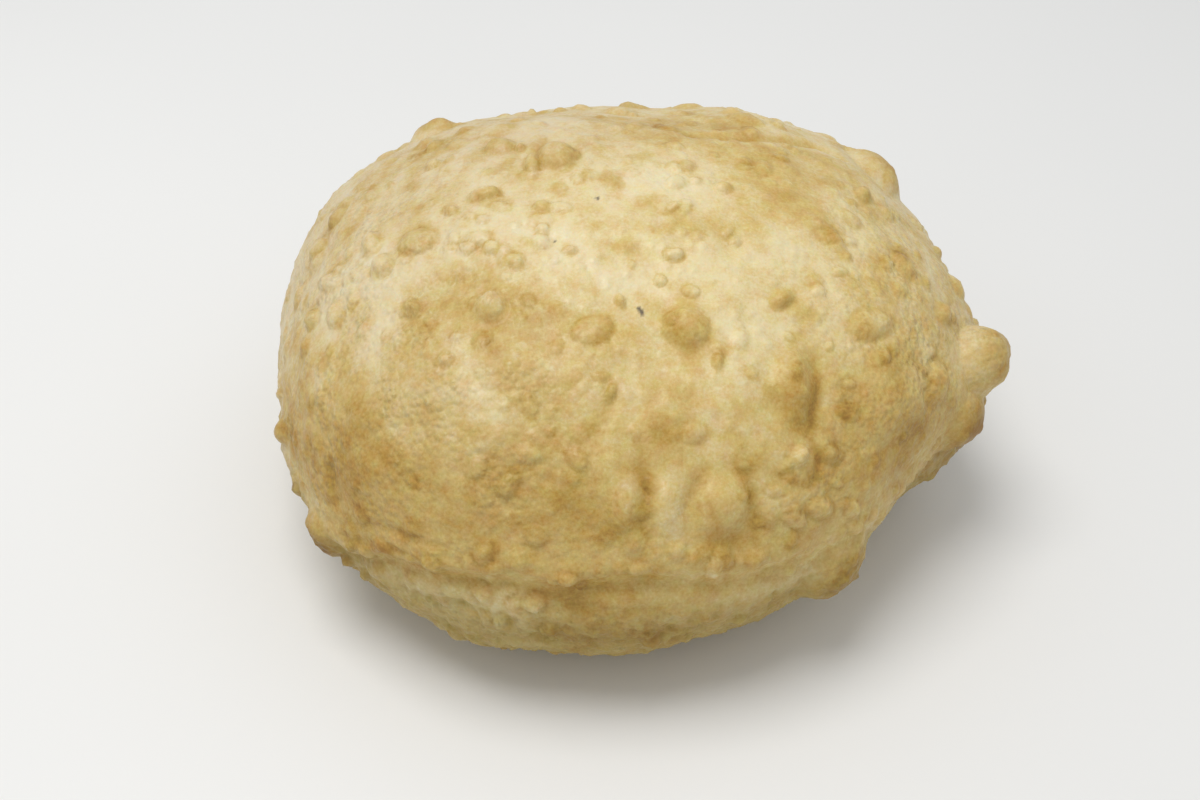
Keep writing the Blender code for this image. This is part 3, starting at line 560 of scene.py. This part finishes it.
def rim_blisters():
    """Small blisters strung along the seam."""
    chance = np.random.default_rng(RIM_SEED)
    found = []
    for index in range(RIM_BLISTERS):
        azimuth = 360.0 * (index + chance.random()) / RIM_BLISTERS - 180.0
        height = seam_wander(math.radians(azimuth)) + chance.normal(0.0, RIM_SPREAD)
        elevation = math.degrees(math.atan2(height, RIM_REACH))
        radius = mostly_small(chance, RIM_RADIUS)
        found.append((azimuth, elevation, radius, RIM_RISE * radius, 1.0, 0.0, RIM_EDGE, RIM_TINT))
    return found


def sprinkled_blisters():
    """Small blisters, closer set where the crust is pebbled."""
    chance = np.random.default_rng(SPRINKLED_SEED)
    ways = unit(chance.normal(size=(SPRINKLED, 3)))
    ways = ways[chance.random(SPRINKLED) < pebbled_share(ways)]
    found = []
    for way in ways:
        azimuth = math.degrees(math.atan2(way[1], way[0]))
        elevation = math.degrees(math.asin(way[2]))
        radius = mostly_small(chance, SPRINKLED_RADIUS)
        rise = SPRINKLED_RISE * radius * chance.uniform(*SPRINKLED_RISES)
        stretch = 1.0 + SPRINKLED_STRETCH * chance.random()
        heading = chance.uniform(-90.0, 90.0)
        found.append((azimuth, elevation, radius, rise, stretch, heading, SPRINKLED_EDGE, SPRINKLED_TINT))
    return found


def oval_share(points, spot, radius, stretch, heading, reach):
    """The points round an oval on the skin, and how far out each is: 0 in the middle, 1 at the edge."""
    centre, east, north = spot
    away = points - centre
    near = np.nonzero((away**2).sum(axis=1) < (reach * radius * stretch) ** 2)[0]
    turned = math.radians(heading)
    along = math.cos(turned) * east + math.sin(turned) * north
    lengthwise = away[near] @ along
    squared = (away[near] ** 2).sum(axis=1) - lengthwise**2
    return near, np.sqrt((lengthwise / stretch) ** 2 + np.clip(squared, 0.0, None)) / radius


def blister_relief(body, points):
    """The height of the blisters over each point, small ones standing on wide ones, and their browning,
    with a darker ring at each rim that is partly browning and partly painted shade.
    """
    wide = np.zeros(len(points))
    small = np.zeros(len(points))
    browning = np.zeros(len(points))
    uneven = bent(points, BEND_SIZE, BEND)
    everything = [*BLISTERS, *strewn_blisters(), *rim_blisters(), *sprinkled_blisters()]
    spots = spots_on_skin(body, everything)
    for spot, (_, _, radius, rise, stretch, heading, edge, browned) in zip(spots, everything):
        near, share = oval_share(uneven, spot, radius, stretch, heading, BLISTER_REACH)
        height = rise * cap(share, edge)
        layer = wide if radius > WIDE_BLISTER else small
        layer[near] = np.where(height > 0.0, np.maximum(layer[near], height), layer[near] + height)
        # Darker at the rim and paler in the middle: partly browning, partly painted shade.
        rim_ring_browning_and_shade = RIM_RING_BROWNING_AND_SHADE * edge * np.exp(-(((share - 1.0) / RING_WIDTH) ** 2))
        tint_with_rim_shade = TINT_IN_MIDDLE_WITH_RIM_SHADE + (1.0 - TINT_IN_MIDDLE_WITH_RIM_SHADE) * share**2
        browning[near] += browned * tint_with_rim_shade * smooth_step(*TINT_EDGE, share) + rim_ring_browning_and_shade
    return wide + small, browning


def closeness_to_line(body, points, corners, half_width):
    """1 on the line through the corners, falling away past the half width and towards the line's ends."""
    closest = np.zeros(len(points))
    runs = len(corners) - 1
    for index in range(runs):
        run = corners[index + 1] - corners[index]
        share = np.clip((points - corners[index]) @ run / (run @ run), 0.0, 1.0)
        nearest = corners[index] + share[:, None] * run
        # The line follows the skin, so its bulge over the chord is left out of the distance.
        sag = share * (1.0 - share) * (run @ run) / (2.0 * body.half_depth)
        apart = np.clip(np.linalg.norm(points - nearest, axis=1) - sag, 0.0, None)
        along = np.clip((index + share) / runs, CREASE_END, 1.0 - CREASE_END)
        taper = np.sin(math.pi * along) ** CREASE_TAPER
        closest = np.maximum(closest, taper * np.exp(-((apart / half_width) ** 2)))
    return closest


def crease_relief(body, points):
    """Creases in the skin, deepest in their middle, and the darkening in them, partly browning and partly
    painted shade.
    """
    relief = np.zeros(len(points))
    browning = np.zeros(len(points))
    uneven = bent(points, BEND_SIZE, CREASE_BEND * BEND)
    for half_width, depth, browned, bends in CREASES:
        corners = skin(body, np.array([direction(*bend) for bend in bends]))
        closeness = closeness_to_line(body, uneven, corners, half_width)
        # Darkening along the creases: partly browning, partly painted shade.
        relief = np.minimum(relief, -depth * closeness)
        browning = np.maximum(browning, browned * closeness)
    return relief, browning


def seam_relief(points):
    """The ragged ridge where the two skins meet with the groove under it, the browning on the ridge and
    the painted shade in the groove.
    """
    wander = seam_wander(np.arctan2(points[:, 1], points[:, 0]))
    above = points[:, 2] - wander - SEAM_RAGGED * crust_noise(points, *SEAM_RAGS)
    half_width = np.where(above > 0.0, SEAM_WIDTH_ABOVE, SEAM_WIDTH_BELOW)
    ridge = np.exp(-((above / half_width) ** 2))
    groove = np.exp(-(((above + SEAM_GROOVE_DROP) / SEAM_GROOVE_WIDTH) ** 2))
    strength = share_by_place(unit(points), SEAM_STRENGTH, SEAM_PLACES)
    # The ridge's browning is the crust's own; the groove's darkening is painted shade.
    browning = SEAM_BROWNING * ridge + GROOVE_SHADE * groove
    return strength * (SEAM_RISE * ridge - SEAM_GROOVE * groove), strength * browning


def belly_relief(points):
    """The crumpled skin under the seam, a slight browning, and painted shade in the hollows of its folds.
    """
    folds = FOLD_MIDDLE - np.abs(crust_noise(points, *CRINKLES))
    crepe = FOLD_MIDDLE - np.abs(crust_noise(points, *CREPE))
    low = smooth_step(*BELLY_LEVELS, points[:, 2])
    # Darker where the folds sink: painted shade in their hollows.
    browning = BELLY_BROWNING - CRINKLE_HOLLOW_SHADE * folds - CREPE_HOLLOW_SHADE * crepe
    return low * (CRINKLE_RISE * folds + CREPE_RISE * crepe), low * browning


def raise_knobs(body, points, smooth):
    """Bulbs that swell out of the skin, and how far up a knob each point is."""
    ways = np.array([direction(*knob[:2]) for knob in KNOBS])
    centres = skin(body, ways)
    east, north, outward = skin_frame(body, ways)
    knobbed = np.zeros(len(points))
    for index, (_, _, radius, cap_angle, height_share, lean) in enumerate(KNOBS):
        away = smooth - centres[index]
        near = np.nonzero(np.linalg.norm(away, axis=1) < radius)[0]
        across = away[near] @ east[index]
        up = away[near] @ north[index]
        apart = np.maximum(np.hypot(across, up), TINY)
        share = np.clip(np.linalg.norm(away[near], axis=1) / radius, 0.0, 1.0)
        turn = math.radians(cap_angle)
        bulb = radius / math.sin(turn)
        out = bulb * np.sin(turn * share)
        foot = 1.0 - share**KNOB_FOOT_POWER
        height = height_share * bulb * (np.cos(turn * share) - math.cos(turn)) * foot
        shift = out * np.minimum(apart / (share * radius + TINIEST), 1.0) - apart
        tilt = math.tan(math.radians(lean)) * height
        points[near] += (shift * across / apart)[:, None] * east[index]
        points[near] += (shift * up / apart + tilt)[:, None] * north[index]
        points[near] += height[:, None] * outward[index]
        knobbed[near] = np.maximum(knobbed[near], 1.0 - share)
    return points, knobbed


def settle(body, points):
    """Lifts the round to its seam height and flattens the foot, rolling the skin up round it."""
    points[:, 2] += body.seam_height
    low = points[:, 2]
    rolled = (low + FOOT_ROLL) ** 2 / (4.0 * FOOT_ROLL)
    eased = np.where(low < FOOT_ROLL, rolled, low)
    points[:, 2] = np.where(low < -FOOT_ROLL, 0.0, eased)
    return points


def turn_and_centre(body, points):
    """Turns the oval to its heading and stands it over the origin."""
    turn = math.radians(body.turn_of_oval)
    across = points[:, 0] * math.cos(turn) - points[:, 1] * math.sin(turn)
    back = points[:, 0] * math.sin(turn) + points[:, 1] * math.cos(turn)
    return np.stack([across - PLAN_MIDDLE[0], back - PLAN_MIDDLE[1], points[:, 2]], axis=1)


def ball_directions(mesh):
    """Evens out the cells of a subdivided cube, draws them to the camera's side and makes directions."""
    corners = np.empty(len(mesh.vertices) * 3)
    mesh.vertices.foreach_get("co", corners)
    corners = corners.reshape(-1, 3)
    even = unit(np.tan(np.clip(corners, -1.0, 1.0) * math.pi / 4.0))
    return unit(even + CELLS_DRAWN_TO_CAMERA * direction(*CAMERA_SIDE))


def as_mesh(shape, name):
    mesh = bpy.data.meshes.new(name)
    shape.to_mesh(mesh)
    shape.free()
    return mesh


def subdivided_cube(name, cells):
    shape = bmesh.new()
    bmesh.ops.create_cube(shape, size=2.0)
    bmesh.ops.subdivide_edges(shape, edges=shape.edges[:], cuts=cells - 1, use_grid_fill=True)
    return as_mesh(shape, name)


def put_points(mesh, points):
    """Moves the mesh's vertices to points given in millimetres."""
    mesh.vertices.foreach_set("co", (points * METRES_PER_MM).reshape(-1))
    mesh.update()


def outward_normals(mesh):
    normals = np.empty(len(mesh.vertices) * 3)
    mesh.vertex_normals.foreach_get("vector", normals)
    return normals.reshape(-1, 3)


def pebbled_share(ways):
    """How pebbled the crust is in each direction."""
    return share_by_place(ways, PINHEAD_EVERYWHERE, PINHEAD_PLACES)


def pinhead_relief(body, pebbled, points):
    """Small blisters, closer set where the crust is pebbled, each kept clear of the ones before it."""
    chance = np.random.default_rng(PINHEAD_SEED)
    weight = pebbled * (points[:, 2] > PINHEAD_LEVEL)
    order = chance.permutation(len(points))
    accepted = chance.random(len(points)) < weight * body.pinheads / len(points)
    tree = kdtree.KDTree(len(points))
    for index, spot in enumerate(points):
        tree.insert(Vector(spot), index)
    tree.balance()
    relief = np.zeros(len(points))
    taken = np.zeros(len(points), bool)
    for index in order[accepted[order]]:
        if taken[index]:
            continue
        radius = mostly_small(chance, PINHEAD_RADIUS, PINHEAD_SMALLNESS)
        rise = PINHEAD_RISE * radius * chance.uniform(*PINHEAD_RISES)
        for _, other, apart in tree.find_range(Vector(points[index]), radius * PINHEAD_CLEARANCE):
            taken[other] = True
            share = apart / radius
            if share < 1.0:
                relief[other] = max(relief[other], rise * (1.0 - share * share))
    return relief


def patch_browning(body, points):
    """The browning of the patches."""
    browning = np.zeros(len(points))
    uneven = bent(points, PATCH_BEND_SIZE, PATCH_BEND)
    spots = spots_on_skin(body, PATCHES)
    for spot, (_, _, radius, stretch, heading, browned) in zip(spots, PATCHES):
        near, share = oval_share(uneven, spot, radius, stretch, heading, PATCH_REACH)
        browning[near] += browned * np.exp(-PATCH_FADE * share**2)
    return browning


def streaks(ways):
    """Streaks that run level round the dome, clearest at the upper left."""
    flat = unit(ways[:, :2])
    spots = np.column_stack([STREAK_ALONG * flat, STREAK_ACROSS * np.arcsin(ways[:, 2])])
    where = STREAKS_EVERYWHERE + nearness(ways, *STREAKS_CLEAREST)
    return where * crust_noise(spots, *STREAKS)


def golden_spots(points):
    """Soft golden spots on the paler crust."""
    spots = smooth_step(*SPOT_EDGE, crust_noise(points, *SPOTS))
    return spots * smooth_step(*SPOT_LEVELS, points[:, 2])


def tanned_share(ways):
    """Where the crust is a duller, pinker tan."""
    return np.clip(share_by_place(ways, 0.0, TANNED_PLACES), 0.0, 1.0)


def specks(body, points):
    """1 on the dark specks and 0 off them."""
    spots = skin(body, np.array([direction(*row[:2]) for row in SPECKS]))
    share = np.zeros(len(points))
    for spot, (_, _, radius) in zip(spots, SPECKS):
        apart = np.linalg.norm(points - spot, axis=1)
        share = np.maximum(share, smooth_step(*SPECK_EDGE, apart / radius))
    return share


def write_on_points(mesh, **values):
    """Writes each value on the mesh's points under its own name."""
    for name, numbers in values.items():
        attribute = mesh.attributes.new(name, "FLOAT", "POINT")
        attribute.data.foreach_set("value", numbers.astype(np.float32))


def fit_to_frame(points):
    """Draws the points in by a hair where a fine blister stands past the box of the frame's own solid."""
    for axis in range(3):
        low, high = CAD_BOX[0][axis] / METRES_PER_MM, CAD_BOX[1][axis] / METRES_PER_MM
        least, most = points[:, axis].min(), points[:, axis].max()
        share = (points[:, axis] - least) / (most - least)
        points[:, axis] = max(low, least) + share * (min(high, most) - max(low, least))
    return points


def bread_mesh(body):
    """The crust as one closed mesh, with what its finish needs to know written on its points."""
    mesh = subdivided_cube("bhatura crust", CELLS_PER_SIDE)
    ways = ball_directions(mesh)
    smooth = skin(body, ways)
    _, _, outward = skin_frame(body, ways)
    blisters, blister_browning = blister_relief(body, smooth)
    creases, crease_browning_and_shade = crease_relief(body, smooth)
    seam, seam_browning_and_groove_shade = seam_relief(smooth)
    belly, belly_browning_and_fold_shade = belly_relief(smooth)
    relief = blisters + creases + seam + belly
    relief += LUMP_RISE * crust_noise(smooth, *LUMPS)
    mottle = crust_noise(smooth, *MOTTLE)
    relief += MOTTLE_RISE * mottle
    points = smooth + relief[:, None] * outward
    points, knobbed = raise_knobs(body, points, smooth)
    points = turn_and_centre(body, settle(body, points))
    put_points(mesh, points)

    pebbled = pebbled_share(ways)
    pinheads = pinhead_relief(body, pebbled, points)
    fine = pinheads + body.wrinkle_rise * crust_noise(points, body.wrinkle_size, *WRINKLES)
    fine *= smooth_step(*FINE_LEVELS, points[:, 2])
    points += fine[:, None] * outward_normals(mesh)
    points[:, 2] = np.maximum(points[:, 2], 0.0)
    put_points(mesh, fit_to_frame(points))

    tanned = tanned_share(ways)
    # The browning also carries painted shade in creases, the seam's groove, the belly's folds and at
    # blister rims, and painted highlights on pinheads.
    browning = BASE_BROWNING + patch_browning(body, smooth) + blister_browning + crease_browning_and_shade
    browning += BROAD_BROWNING * crust_noise(smooth, *BROAD) + MOTTLE_BROWNING * mottle
    browning += STREAK_BROWNING * streaks(ways) + SPOT_BROWNING * golden_spots(smooth)
    browning += KNOB_BROWNING * smooth_step(*KNOB_BROWNED, knobbed) + seam_browning_and_groove_shade + belly_browning_and_fold_shade
    # Paler pinhead tops: painted highlights.
    browning += PINHEAD_PAINTED_GLINT * smooth_step(*PINHEAD_GLINT_LEVELS, pinheads) + TAN_BROWNING * tanned
    underside = smooth_step(*UNDERSIDE_LEVELS, smooth[:, 2])
    uneven = 1.0 + PEBBLES_UNEVEN * crust_noise(smooth, *PEBBLE_CLOUDS)
    pebbles = PEBBLES_EVERYWHERE + PEBBLES * (pebbled - PINHEAD_EVERYWHERE) * uneven
    pebbles += PEBBLES_ON_BELLY * underside
    write_on_points(
        mesh,
        browning=np.clip(browning, 0.0, 1.0),
        tanned=tanned,
        speck=specks(body, smooth),
        pebbled=np.clip(pebbles, 0.0, 1.0),
        belly=underside,
    )
    mesh.polygons.foreach_set("use_smooth", np.ones(len(mesh.polygons), bool))
    mesh.update()
    return mesh


def add_node(tree, kind, place, values=None, **settings):
    """A node with its settings, and the values of those inputs that nothing is linked to."""
    node = tree.nodes.new(kind)
    node.location = place
    for name, setting in settings.items():
        setattr(node, name, setting)
    for name, value in (values or {}).items():
        node.inputs[name].default_value = value
    return node


def noise_texture(tree, coordinates, place, scale, detail, roughness):
    values = {"Scale": scale, "Detail": detail, "Roughness": roughness}
    node = add_node(tree, "ShaderNodeTexNoise", place, values)
    tree.links.new(coordinates.outputs["Object"], node.inputs["Vector"])
    return node


def weighed_sum(tree, place, first, second, weight):
    """first + weight * second."""
    node = add_node(tree, "ShaderNodeMath", place, {1: weight}, operation="MULTIPLY_ADD")
    tree.links.new(second, node.inputs[0])
    tree.links.new(first, node.inputs[2])
    return node.outputs[0]


def colour_ramp(tree, place, stops):
    node = add_node(tree, "ShaderNodeValToRGB", place)
    ramp = node.color_ramp
    while len(ramp.elements) < len(stops):
        ramp.elements.new(0.5)
    for element, (position, colour) in zip(ramp.elements, stops):
        element.position = position
        element.color = (*colour, 1.0)
    return node


def written(tree, place, name):
    """What is written on the mesh's points under a name."""
    return add_node(tree, "ShaderNodeAttribute", place, attribute_name=name).outputs["Fac"]


def centred(tree, place, noise_node):
    """Noise from 0 to 1, moved to lie about 0."""
    node = add_node(tree, "ShaderNodeMath", place, {1: NOISE_MIDDLE}, operation="SUBTRACT")
    tree.links.new(noise_node.outputs["Fac"], node.inputs[0])
    return node.outputs[0]


def mixed(tree, place, share, colour, other, **settings):
    """A colour mixed with a plain one, by the share that is written on each point."""
    node = add_node(tree, "ShaderNodeMix", place, data_type="RGBA", **settings)
    node.inputs["B"].default_value = (*other, 1.0)
    tree.links.new(share, node.inputs["Factor"])
    tree.links.new(colour, node.inputs["A"])
    return node.outputs["Result"]


def crust_colour(tree, finish, mottle, speckle):
    """Pale to dark golden brown by the browning, tinted where it is tan or charred, and darker underneath:
    partly the underside's duller tone, partly painted shade.
    """
    toast = written(tree, (-700, 400), "browning")
    toast = weighed_sum(tree, (-450, 300), toast, centred(tree, (-700, 0), mottle), MOTTLE_WEIGHT)
    toast = weighed_sum(tree, (-250, 300), toast, centred(tree, (-700, -150), speckle), SPECKLE_WEIGHT)
    colours = (finish.pale, finish.straw, finish.golden, finish.brown, finish.dark)
    ramp = colour_ramp(tree, (-50, 300), tuple(zip(BROWNING_STOPS, colours)))
    tree.links.new(toast, ramp.inputs["Fac"])
    hue = add_node(tree, "ShaderNodeMix", (130, 300), data_type="RGBA", blend_type="OVERLAY")
    hue.inputs["Factor"].default_value = HUE_SHIFT
    tree.links.new(ramp.outputs["Color"], hue.inputs["A"])
    tree.links.new(mottle.outputs["Color"], hue.inputs["B"])
    colour = hue.outputs["Result"]
    tanned = written(tree, (-50, 550), "tanned")
    colour = mixed(tree, (250, 450), tanned, colour, finish.tan, blend_type="MULTIPLY")
    # Darker and duller underneath: partly the underside's own tone, partly painted shade.
    belly = written(tree, (-700, 200), "belly")
    colour = mixed(tree, (350, 300), belly, colour, finish.belly, blend_type="MULTIPLY")
    return mixed(tree, (550, 300), written(tree, (350, 550), "speck"), colour, finish.speck)


def crust_roughness(tree, finish, mottle):
    """Duller and oilier by turns with the mottle."""
    oil = add_node(tree, "ShaderNodeMapRange", (350, -100))
    tree.links.new(mottle.outputs["Fac"], oil.inputs["Value"])
    for end, noise_level, roughness in zip(("Min", "Max"), OIL_NOISE, OIL_ROUGHNESS):
        oil.inputs["From " + end].default_value = noise_level
        oil.inputs["To " + end].default_value = finish.roughness + roughness
    return oil.outputs["Result"]


def crust_bumps(tree, coordinates, speckle):
    """The pebbles, as strong as is written on the points, and a faint grain over them."""
    values = {"Scale": PEBBLE_SCALE, "Smoothness": PEBBLE_SMOOTHNESS}
    pebbles = add_node(tree, "ShaderNodeTexVoronoi", (-450, -350), values, feature="SMOOTH_F1")
    tree.links.new(coordinates.outputs["Object"], pebbles.inputs["Vector"])
    pebble_bump = add_node(tree, "ShaderNodeBump", (350, -350), {"Distance": PEBBLE_HEIGHT}, invert=True)
    tree.links.new(pebbles.outputs["Distance"], pebble_bump.inputs["Height"])
    tree.links.new(written(tree, (-50, -200), "pebbled"), pebble_bump.inputs["Strength"])
    values = {"Strength": GRAIN_STRENGTH, "Distance": GRAIN_HEIGHT}
    grain_bump = add_node(tree, "ShaderNodeBump", (600, -350), values)
    tree.links.new(speckle.outputs["Fac"], grain_bump.inputs["Height"])
    tree.links.new(pebble_bump.outputs["Normal"], grain_bump.inputs["Normal"])
    return grain_bump.outputs["Normal"]


def new_finish(name):
    """A new material, with its tree of nodes and its shader."""
    material = bpy.data.materials.new(name)
    material.use_nodes = True
    tree = material.node_tree
    return material, tree, tree.nodes["Principled BSDF"]


def crust_finish(finish):
    """Fried crust: pale cream to golden brown, mottled, pebbled and faintly oily."""
    material, tree, shader = new_finish("fried crust")
    shader.location = (900, 0)
    coordinates = add_node(tree, "ShaderNodeTexCoord", (-1100, 0))
    mottle = noise_texture(tree, coordinates, (-900, 300), *MOTTLE_TEXTURE)
    speckle = noise_texture(tree, coordinates, (-900, 100), *SPECKLE_TEXTURE)
    tree.links.new(crust_colour(tree, finish, mottle, speckle), shader.inputs["Base Color"])
    tree.links.new(crust_roughness(tree, finish, mottle), shader.inputs["Roughness"])
    tree.links.new(crust_bumps(tree, coordinates, speckle), shader.inputs["Normal"])
    for name, value in CRUST_SHADER.items():
        shader.inputs[name].default_value = value
    return material


def stage_finish(stage):
    """A plain pale floor with a very faint unevenness."""
    material, tree, shader = new_finish("pale floor")
    coordinates = add_node(tree, "ShaderNodeTexCoord", (-800, 0))
    patches = noise_texture(tree, coordinates, (-600, 0), *FLOOR_TEXTURE)
    shade = [channel * FLOOR_SHADE for channel in stage.floor_colour]
    ramp = colour_ramp(tree, (-350, 0), tuple(zip(FLOOR_STOPS, (shade, stage.floor_colour))))
    tree.links.new(patches.outputs["Fac"], ramp.inputs["Fac"])
    tree.links.new(ramp.outputs["Color"], shader.inputs["Base Color"])
    shader.inputs["Roughness"].default_value = FLOOR_ROUGHNESS
    return material


def length_property(name, description, default, least=0.0):
    described = description + ", in millimetres"
    return FloatProperty(name=name, description=described, default=default, min=least)


def angle_property(name, description, default):
    return FloatProperty(name=name, description=description + ", in degrees", default=default)


def colour_property(name, description, default, most=1.0):
    kind = {"subtype": "COLOR", "size": 3, "min": 0.0, "max": most}
    return FloatVectorProperty(name=name, description=description, default=default, **kind)


class BhaturaBody(bpy.types.PropertyGroup):
    """Sizes of the puffed round."""

    half_length: length_property("Half length", "Half the body's length", 110.0, 10.0)
    half_depth: length_property("Half depth", "Half the body's depth", 99.0, 10.0)
    dome_rise: length_property("Dome rise", "Height of the dome over the seam", 68.0, 5.0)
    belly_drop: length_property("Belly drop", "Depth of the belly before it settles", 54.0, 5.0)
    seam_height: length_property("Seam height", "Height of the seam over the foot", 48.0, 1.0)
    turn_of_oval: angle_property("Turn of the oval", "How far the oval is turned", 9.0)
    pinheads: IntProperty(
        name="Pinhead blisters",
        description="About how many places are tried for small blisters",
        default=9000,
        min=0,
    )
    wrinkle_size: length_property("Wrinkle size", "Spacing of the fine wrinkles", 7.0, 1.0)
    wrinkle_rise: length_property("Wrinkle rise", "Height of the fine wrinkles", 0.18)


class CrustFinish(bpy.types.PropertyGroup):
    """Colours and gloss of the fried crust."""

    pale: colour_property("Pale crust", "Crust that the oil hardly coloured", (0.80, 0.715, 0.475))
    straw: colour_property("Straw", "Lightly fried crust", (0.74, 0.608, 0.328))
    golden: colour_property("Golden", "Well fried crust", (0.62, 0.453, 0.160))
    brown: colour_property("Golden brown", "Crust on knobs and in creases", (0.47, 0.290, 0.060))
    dark: colour_property("Dark", "The darkest crust", (0.30, 0.160, 0.025))
    speck: colour_property("Speck", "Charred specks", (0.15, 0.12, 0.08))
    # The underside's tint is partly its own duller tone and partly painted shade.
    belly: colour_property("Belly", "How the underside tints the crust", (0.645, 0.597, 0.392), 2.0)
    tan: colour_property("Tan", "How the tan places tint the crust", (0.87, 0.845, 0.87), 2.0)
    roughness: FloatProperty(
        name="Roughness",
        description="How dull the crust is",
        subtype="FACTOR",
        min=0.0,
        max=1.0,
        default=0.46,
    )


class StageSettings(bpy.types.PropertyGroup):
    """Floor, lights and camera."""

    floor_size: FloatProperty(
        name="Floor size",
        description="Side of the square floor",
        subtype="DISTANCE",
        unit="LENGTH",
        default=6.0,
        min=1.0,
    )
    floor_colour: colour_property("Floor colour", "Colour of the plain floor", (0.84, 0.84, 0.83))
    key_power: FloatProperty(
        name="Key light",
        description="Power of the soft light above",
        subtype="POWER",
        default=7.8,
        min=0.0,
    )
    sky: FloatProperty(name="Sky", description="Strength of the even light", default=0.60, min=0.0)
    lens: length_property("Lens", "Focal length on a 36 mm sensor", 45.0, 10.0)
    camera_place: FloatVectorProperty(
        name="Camera place",
        description="Where the camera stands",
        subtype="XYZ",
        unit="LENGTH",
        size=3,
        default=(-0.0097, -0.3659, 0.3520),
    )
    camera_dip: angle_property("Camera dip", "How far the camera looks down", 41.42)
    camera_roll: angle_property("Camera roll", "How far the camera leans to its side", 2.03)


def stand_in_scene(context, name, data):
    """Puts a mesh, a light or a camera into the scene as an object."""
    stood = bpy.data.objects.new(name, data)
    context.scene.collection.objects.link(stood)
    return stood


class BHATURA_OT_bread(bpy.types.Operator):
    """Model the puffed bread with its blistered crust"""

    bl_idname = "bhatura.bread"
    bl_label = "Bhatura"

    def execute(self, context):
        mesh = bread_mesh(context.scene.bhatura_body)
        mesh.materials.append(crust_finish(context.scene.bhatura_finish))
        bread = stand_in_scene(context, "bhatura_bread", mesh)
        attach(bread, "root")
        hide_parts("bhatura")
        return {"FINISHED"}


class BHATURA_OT_stage(bpy.types.Operator):
    """Lay a plain floor and set up soft light and the camera"""

    bl_idname = "bhatura.stage"
    bl_label = "Stage"

    def execute(self, context):
        stage = context.scene.bhatura_stage
        lay_floor(context, stage)
        hang_key_light(context, stage.key_power)
        light_all_round(context, stage.sky)
        stand_camera(context, stage)
        context.scene.view_settings.view_transform = "Standard"
        return {"FINISHED"}


class BHATURA_PT_pieces(bpy.types.Panel):
    """Everything that the scene is made of"""

    bl_label = "Bhatura"
    bl_idname = "BHATURA_PT_pieces"
    bl_space_type = "VIEW_3D"
    bl_region_type = "UI"
    bl_category = "Bhatura"

    def draw(self, context):
        for operator in OPERATORS:
            self.layout.operator(operator.bl_idname)
        for group, _ in GROUPS:
            box = self.layout.box()
            settings = getattr(context.scene, group)
            for name in settings.__annotations__:
                box.prop(settings, name)


def lay_floor(context, stage):
    shape = bmesh.new()
    half = stage.floor_size / 2.0
    bmesh.ops.create_grid(shape, x_segments=FLOOR_SEGMENTS, y_segments=FLOOR_SEGMENTS, size=half)
    mesh = as_mesh(shape, "floor")
    mesh.materials.append(stage_finish(stage))
    stand_in_scene(context, "floor", mesh)


def hang_key_light(context, power):
    """One soft light above, to the front left."""
    light = bpy.data.lights.new("key light", "AREA")
    light.shape = "DISK"
    light.size = KEY_SIZE
    light.energy = power
    light.color = KEY_COLOUR
    lamp = stand_in_scene(context, "key light", light)
    lamp.location = KEY_PLACE
    lamp.rotation_euler = (KEY_AIM - KEY_PLACE).to_track_quat("-Z", "Y").to_euler()


def light_all_round(context, strength):
    """Even light from all round."""
    world = bpy.data.worlds.new("even light")
    world.use_nodes = True
    context.scene.world = world
    sky = world.node_tree.nodes["Background"]
    sky.inputs["Color"].default_value = SKY_COLOUR
    sky.inputs["Strength"].default_value = strength


def stand_camera(context, stage):
    camera = bpy.data.cameras.new("camera")
    camera.lens = stage.lens
    camera.sensor_width = SENSOR_WIDTH_MM
    camera.clip_start = NEAREST_SEEN
    holder = stand_in_scene(context, "camera", camera)
    dip = math.radians(stage.camera_dip)
    lean = math.radians(stage.camera_roll)
    turn = Matrix.Rotation(math.pi / 2.0 - dip, 4, "X") @ Matrix.Rotation(lean, 4, "Z")
    holder.matrix_world = Matrix.Translation(Vector(stage.camera_place)) @ turn
    context.scene.camera = holder


OPERATORS = (BHATURA_OT_bread, BHATURA_OT_stage)
GROUPS = (
    ("bhatura_body", BhaturaBody),
    ("bhatura_finish", CrustFinish),
    ("bhatura_stage", StageSettings),
)
CLASSES = (*(group for _, group in GROUPS), *OPERATORS, BHATURA_PT_pieces)


def register():
    for one in CLASSES:
        bpy.utils.register_class(one)
    for name, group in GROUPS:
        setattr(bpy.types.Scene, name, PointerProperty(type=group))


def unregister():
    for name, _ in GROUPS:
        delattr(bpy.types.Scene, name)
    for one in reversed(CLASSES):
        bpy.utils.unregister_class(one)


def main():
    register()
    bpy.ops.bhatura.bread()
    bpy.ops.bhatura.stage()


if __name__ == "__main__":
    main()
